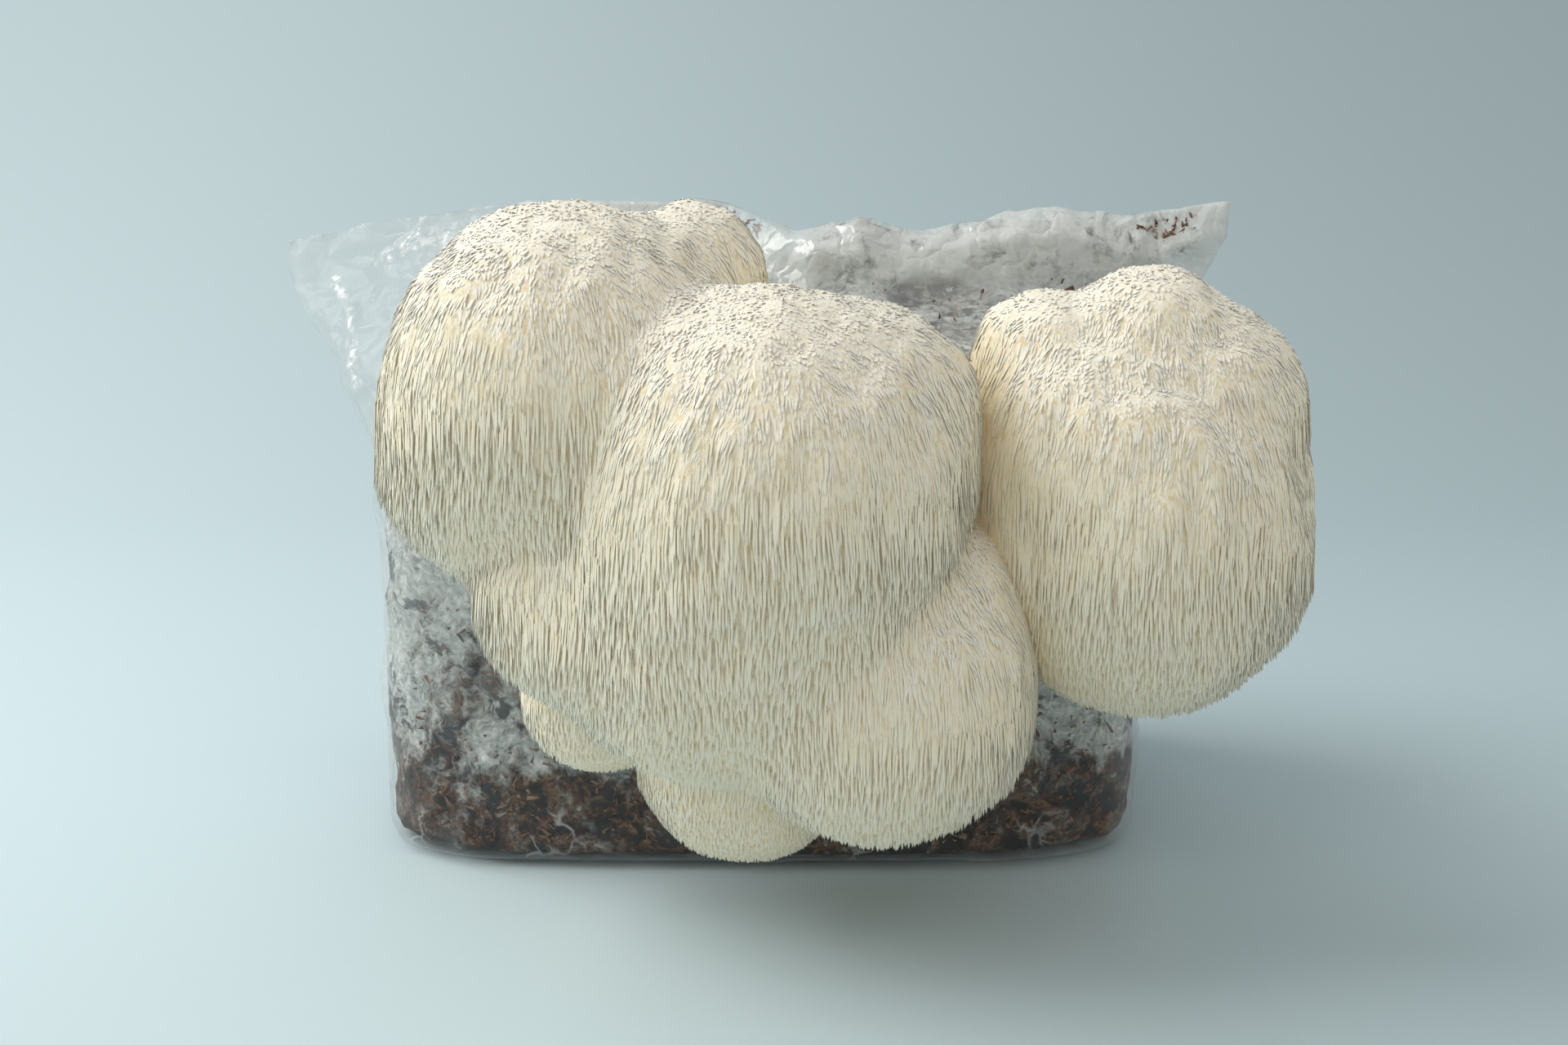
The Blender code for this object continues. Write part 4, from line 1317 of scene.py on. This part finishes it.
hang_spines(
    "main_clump",
    main_clump_flesh,
    MAIN_CLUMP_LOBES,
    cover_in_spines(main_clump_flesh, [right_flesh, lower_left_flesh, bottom_flesh], 11),
    {
        "centre_spines": (
            "centre", "centre_shoulder", "centre_left_shoulder", "centre_left", "heart",
        ),
        "lower_spines": (
            "belly", "left_cheek", "centre_low", "lower_right", "lower_right_top",
        ),
        "upper_left_spines": ("upper_left", "upper_left_low", "upper_left_knob"),
    },
)
hang_spines(
    "right_pom_pom",
    right_flesh,
    RIGHT_LOBES,
    cover_in_spines(right_flesh, [main_clump_flesh], 12),
    {
        "right_spines": ("right",),
        "right_top_spines": ("right_shoulder", "right_lump", "right_corner", "right_middle"),
    },
)
hang_spines(
    "lower_left_pom_pom",
    lower_left_flesh,
    LOWER_LEFT_LOBES,
    cover_in_spines(lower_left_flesh, [main_clump_flesh, bottom_flesh], 13, YOUNG_STUBBINESS),
    {"lower_left_spines": ("lower_left",)},
)
hang_spines(
    "bottom_pom_pom",
    bottom_flesh,
    BOTTOM_LOBES,
    cover_in_spines(bottom_flesh, [main_clump_flesh, lower_left_flesh], 14, YOUNG_STUBBINESS),
    {"bottom_spines": ("bottom",)},
)

# Studio
# A seamless pale backdrop that runs from under the block up into a wall, soft daylight from the
# upper left, and the camera where the photograph was taken from.

FLOOR_WIDTH = 3.2
FLOOR_FRONT_Y = -1.6
BEND_START_Y = 0.36
BEND_RADIUS = 0.55
WALL_TOP_Z = 2.2
# Colour at the left and the right, and how dark it gets towards the wall: painted shade of the light's
# falloff across the backdrop.
BACKDROP_LEFT = (0.620, 0.745, 0.790)
BACKDROP_RIGHT = (0.530, 0.655, 0.700)
BACKDROP_FAR_SHADE = 0.72


def backdrop_material():
    """Pale paper, with painted shade: a little greyer towards the right, away from the window, and
    darker towards the wall at the back.
    """
    material, tree, shader = new_material("pale_backdrop", 0.9)
    coordinates = add_node(tree, "ShaderNodeTexCoord", (-1100, 0))
    parts = add_node(tree, "ShaderNodeSeparateXYZ", (-900, 0))
    tree.links.new(coordinates.outputs["Object"], parts.inputs["Vector"])
    across = add_node(tree, "ShaderNodeMapRange", (-700, 0), interpolation_type="SMOOTHSTEP")
    across.inputs["From Min"].default_value = -0.45
    across.inputs["From Max"].default_value = 0.55
    tree.links.new(parts.outputs["X"], across.inputs["Value"])
    colour = add_ramp(tree, (-450, 0), ((0.0, BACKDROP_LEFT), (1.0, BACKDROP_RIGHT)))
    tree.links.new(across.outputs["Result"], colour.inputs["Fac"])
    away = add_node(tree, "ShaderNodeMapRange", (-700, -300))
    away.inputs["From Max"].default_value = 0.90
    tree.links.new(parts.outputs["Y"], away.inputs["Value"])
    shade = add_ramp(tree, (-450, -300), (
        (0.0, (1.0, 1.0, 1.0)),
        (1.0, (BACKDROP_FAR_SHADE,) * 3),
    ))
    tree.links.new(away.outputs["Result"], shade.inputs["Fac"])
    shaded = add_node(tree, "ShaderNodeMix", (-150, 0), data_type="RGBA", blend_type="MULTIPLY")
    shaded.inputs["Factor"].default_value = 1.0
    tree.links.new(colour.outputs["Color"], shaded.inputs[6])
    tree.links.new(shade.outputs["Color"], shaded.inputs[7])
    tree.links.new(shaded.outputs[2], shader.inputs["Base Color"])
    return material


def build_backdrop(material):
    bend = np.linspace(0.0, math.pi / 2, 24)
    profile = [(FLOOR_FRONT_Y, 0.0), (-0.4, 0.0)]
    for angle in bend:
        profile.append((
            BEND_START_Y + BEND_RADIUS * math.sin(angle),
            BEND_RADIUS * (1.0 - math.cos(angle)),
        ))
    profile.append((BEND_START_Y + BEND_RADIUS, WALL_TOP_Z))
    points = [(x, y, z) for y, z in profile for x in (-FLOOR_WIDTH / 2, FLOOR_WIDTH / 2)]
    faces = [(2 * i, 2 * i + 1, 2 * i + 3, 2 * i + 2) for i in range(len(profile) - 1)]
    return mesh_piece("backdrop", points, faces, material)


def add_light(name, place, target, size, power, colour):
    lamp = bpy.data.lights.new(name, "AREA")
    lamp.shape = "RECTANGLE"
    lamp.size, lamp.size_y = size
    lamp.energy = power
    lamp.color = colour
    light = bpy.data.objects.new(name, lamp)
    light.location = place
    light.rotation_euler = (Vector(target) - Vector(place)).to_track_quat("-Z", "Y").to_euler()
    bpy.context.scene.collection.objects.link(light)
    return light


backdrop = build_backdrop(backdrop_material())

add_light("window", (-0.84, 0.02, 0.92), (0.0, -0.05, 0.05), (1.00, 0.90), 11.0, (1.0, 0.99, 0.96))

sky = bpy.data.worlds.new("soft_daylight")
sky.use_nodes = True
sky.node_tree.nodes["Background"].inputs["Color"].default_value = (1.0, 0.99, 0.96, 1.0)
sky.node_tree.nodes["Background"].inputs["Strength"].default_value = 0.60
bpy.context.scene.world = sky
bpy.context.scene.view_settings.view_transform = "Standard"

CAMERA_PLACE = (0.0065, -0.6344, 0.2297)
CAMERA_PITCH = math.radians(13.0)
LENS = 50.0
SENSOR_WIDTH = 36.0

lens = bpy.data.cameras.new("camera")
lens.lens = LENS
lens.sensor_width = SENSOR_WIDTH
lens.clip_start = 0.01
lens.clip_end = 20.0
camera = bpy.data.objects.new("camera", lens)
camera.location = CAMERA_PLACE
camera.rotation_euler = (math.pi / 2 - CAMERA_PITCH, 0.0, 0.0)
bpy.context.scene.collection.objects.link(camera)
bpy.context.scene.camera = camera
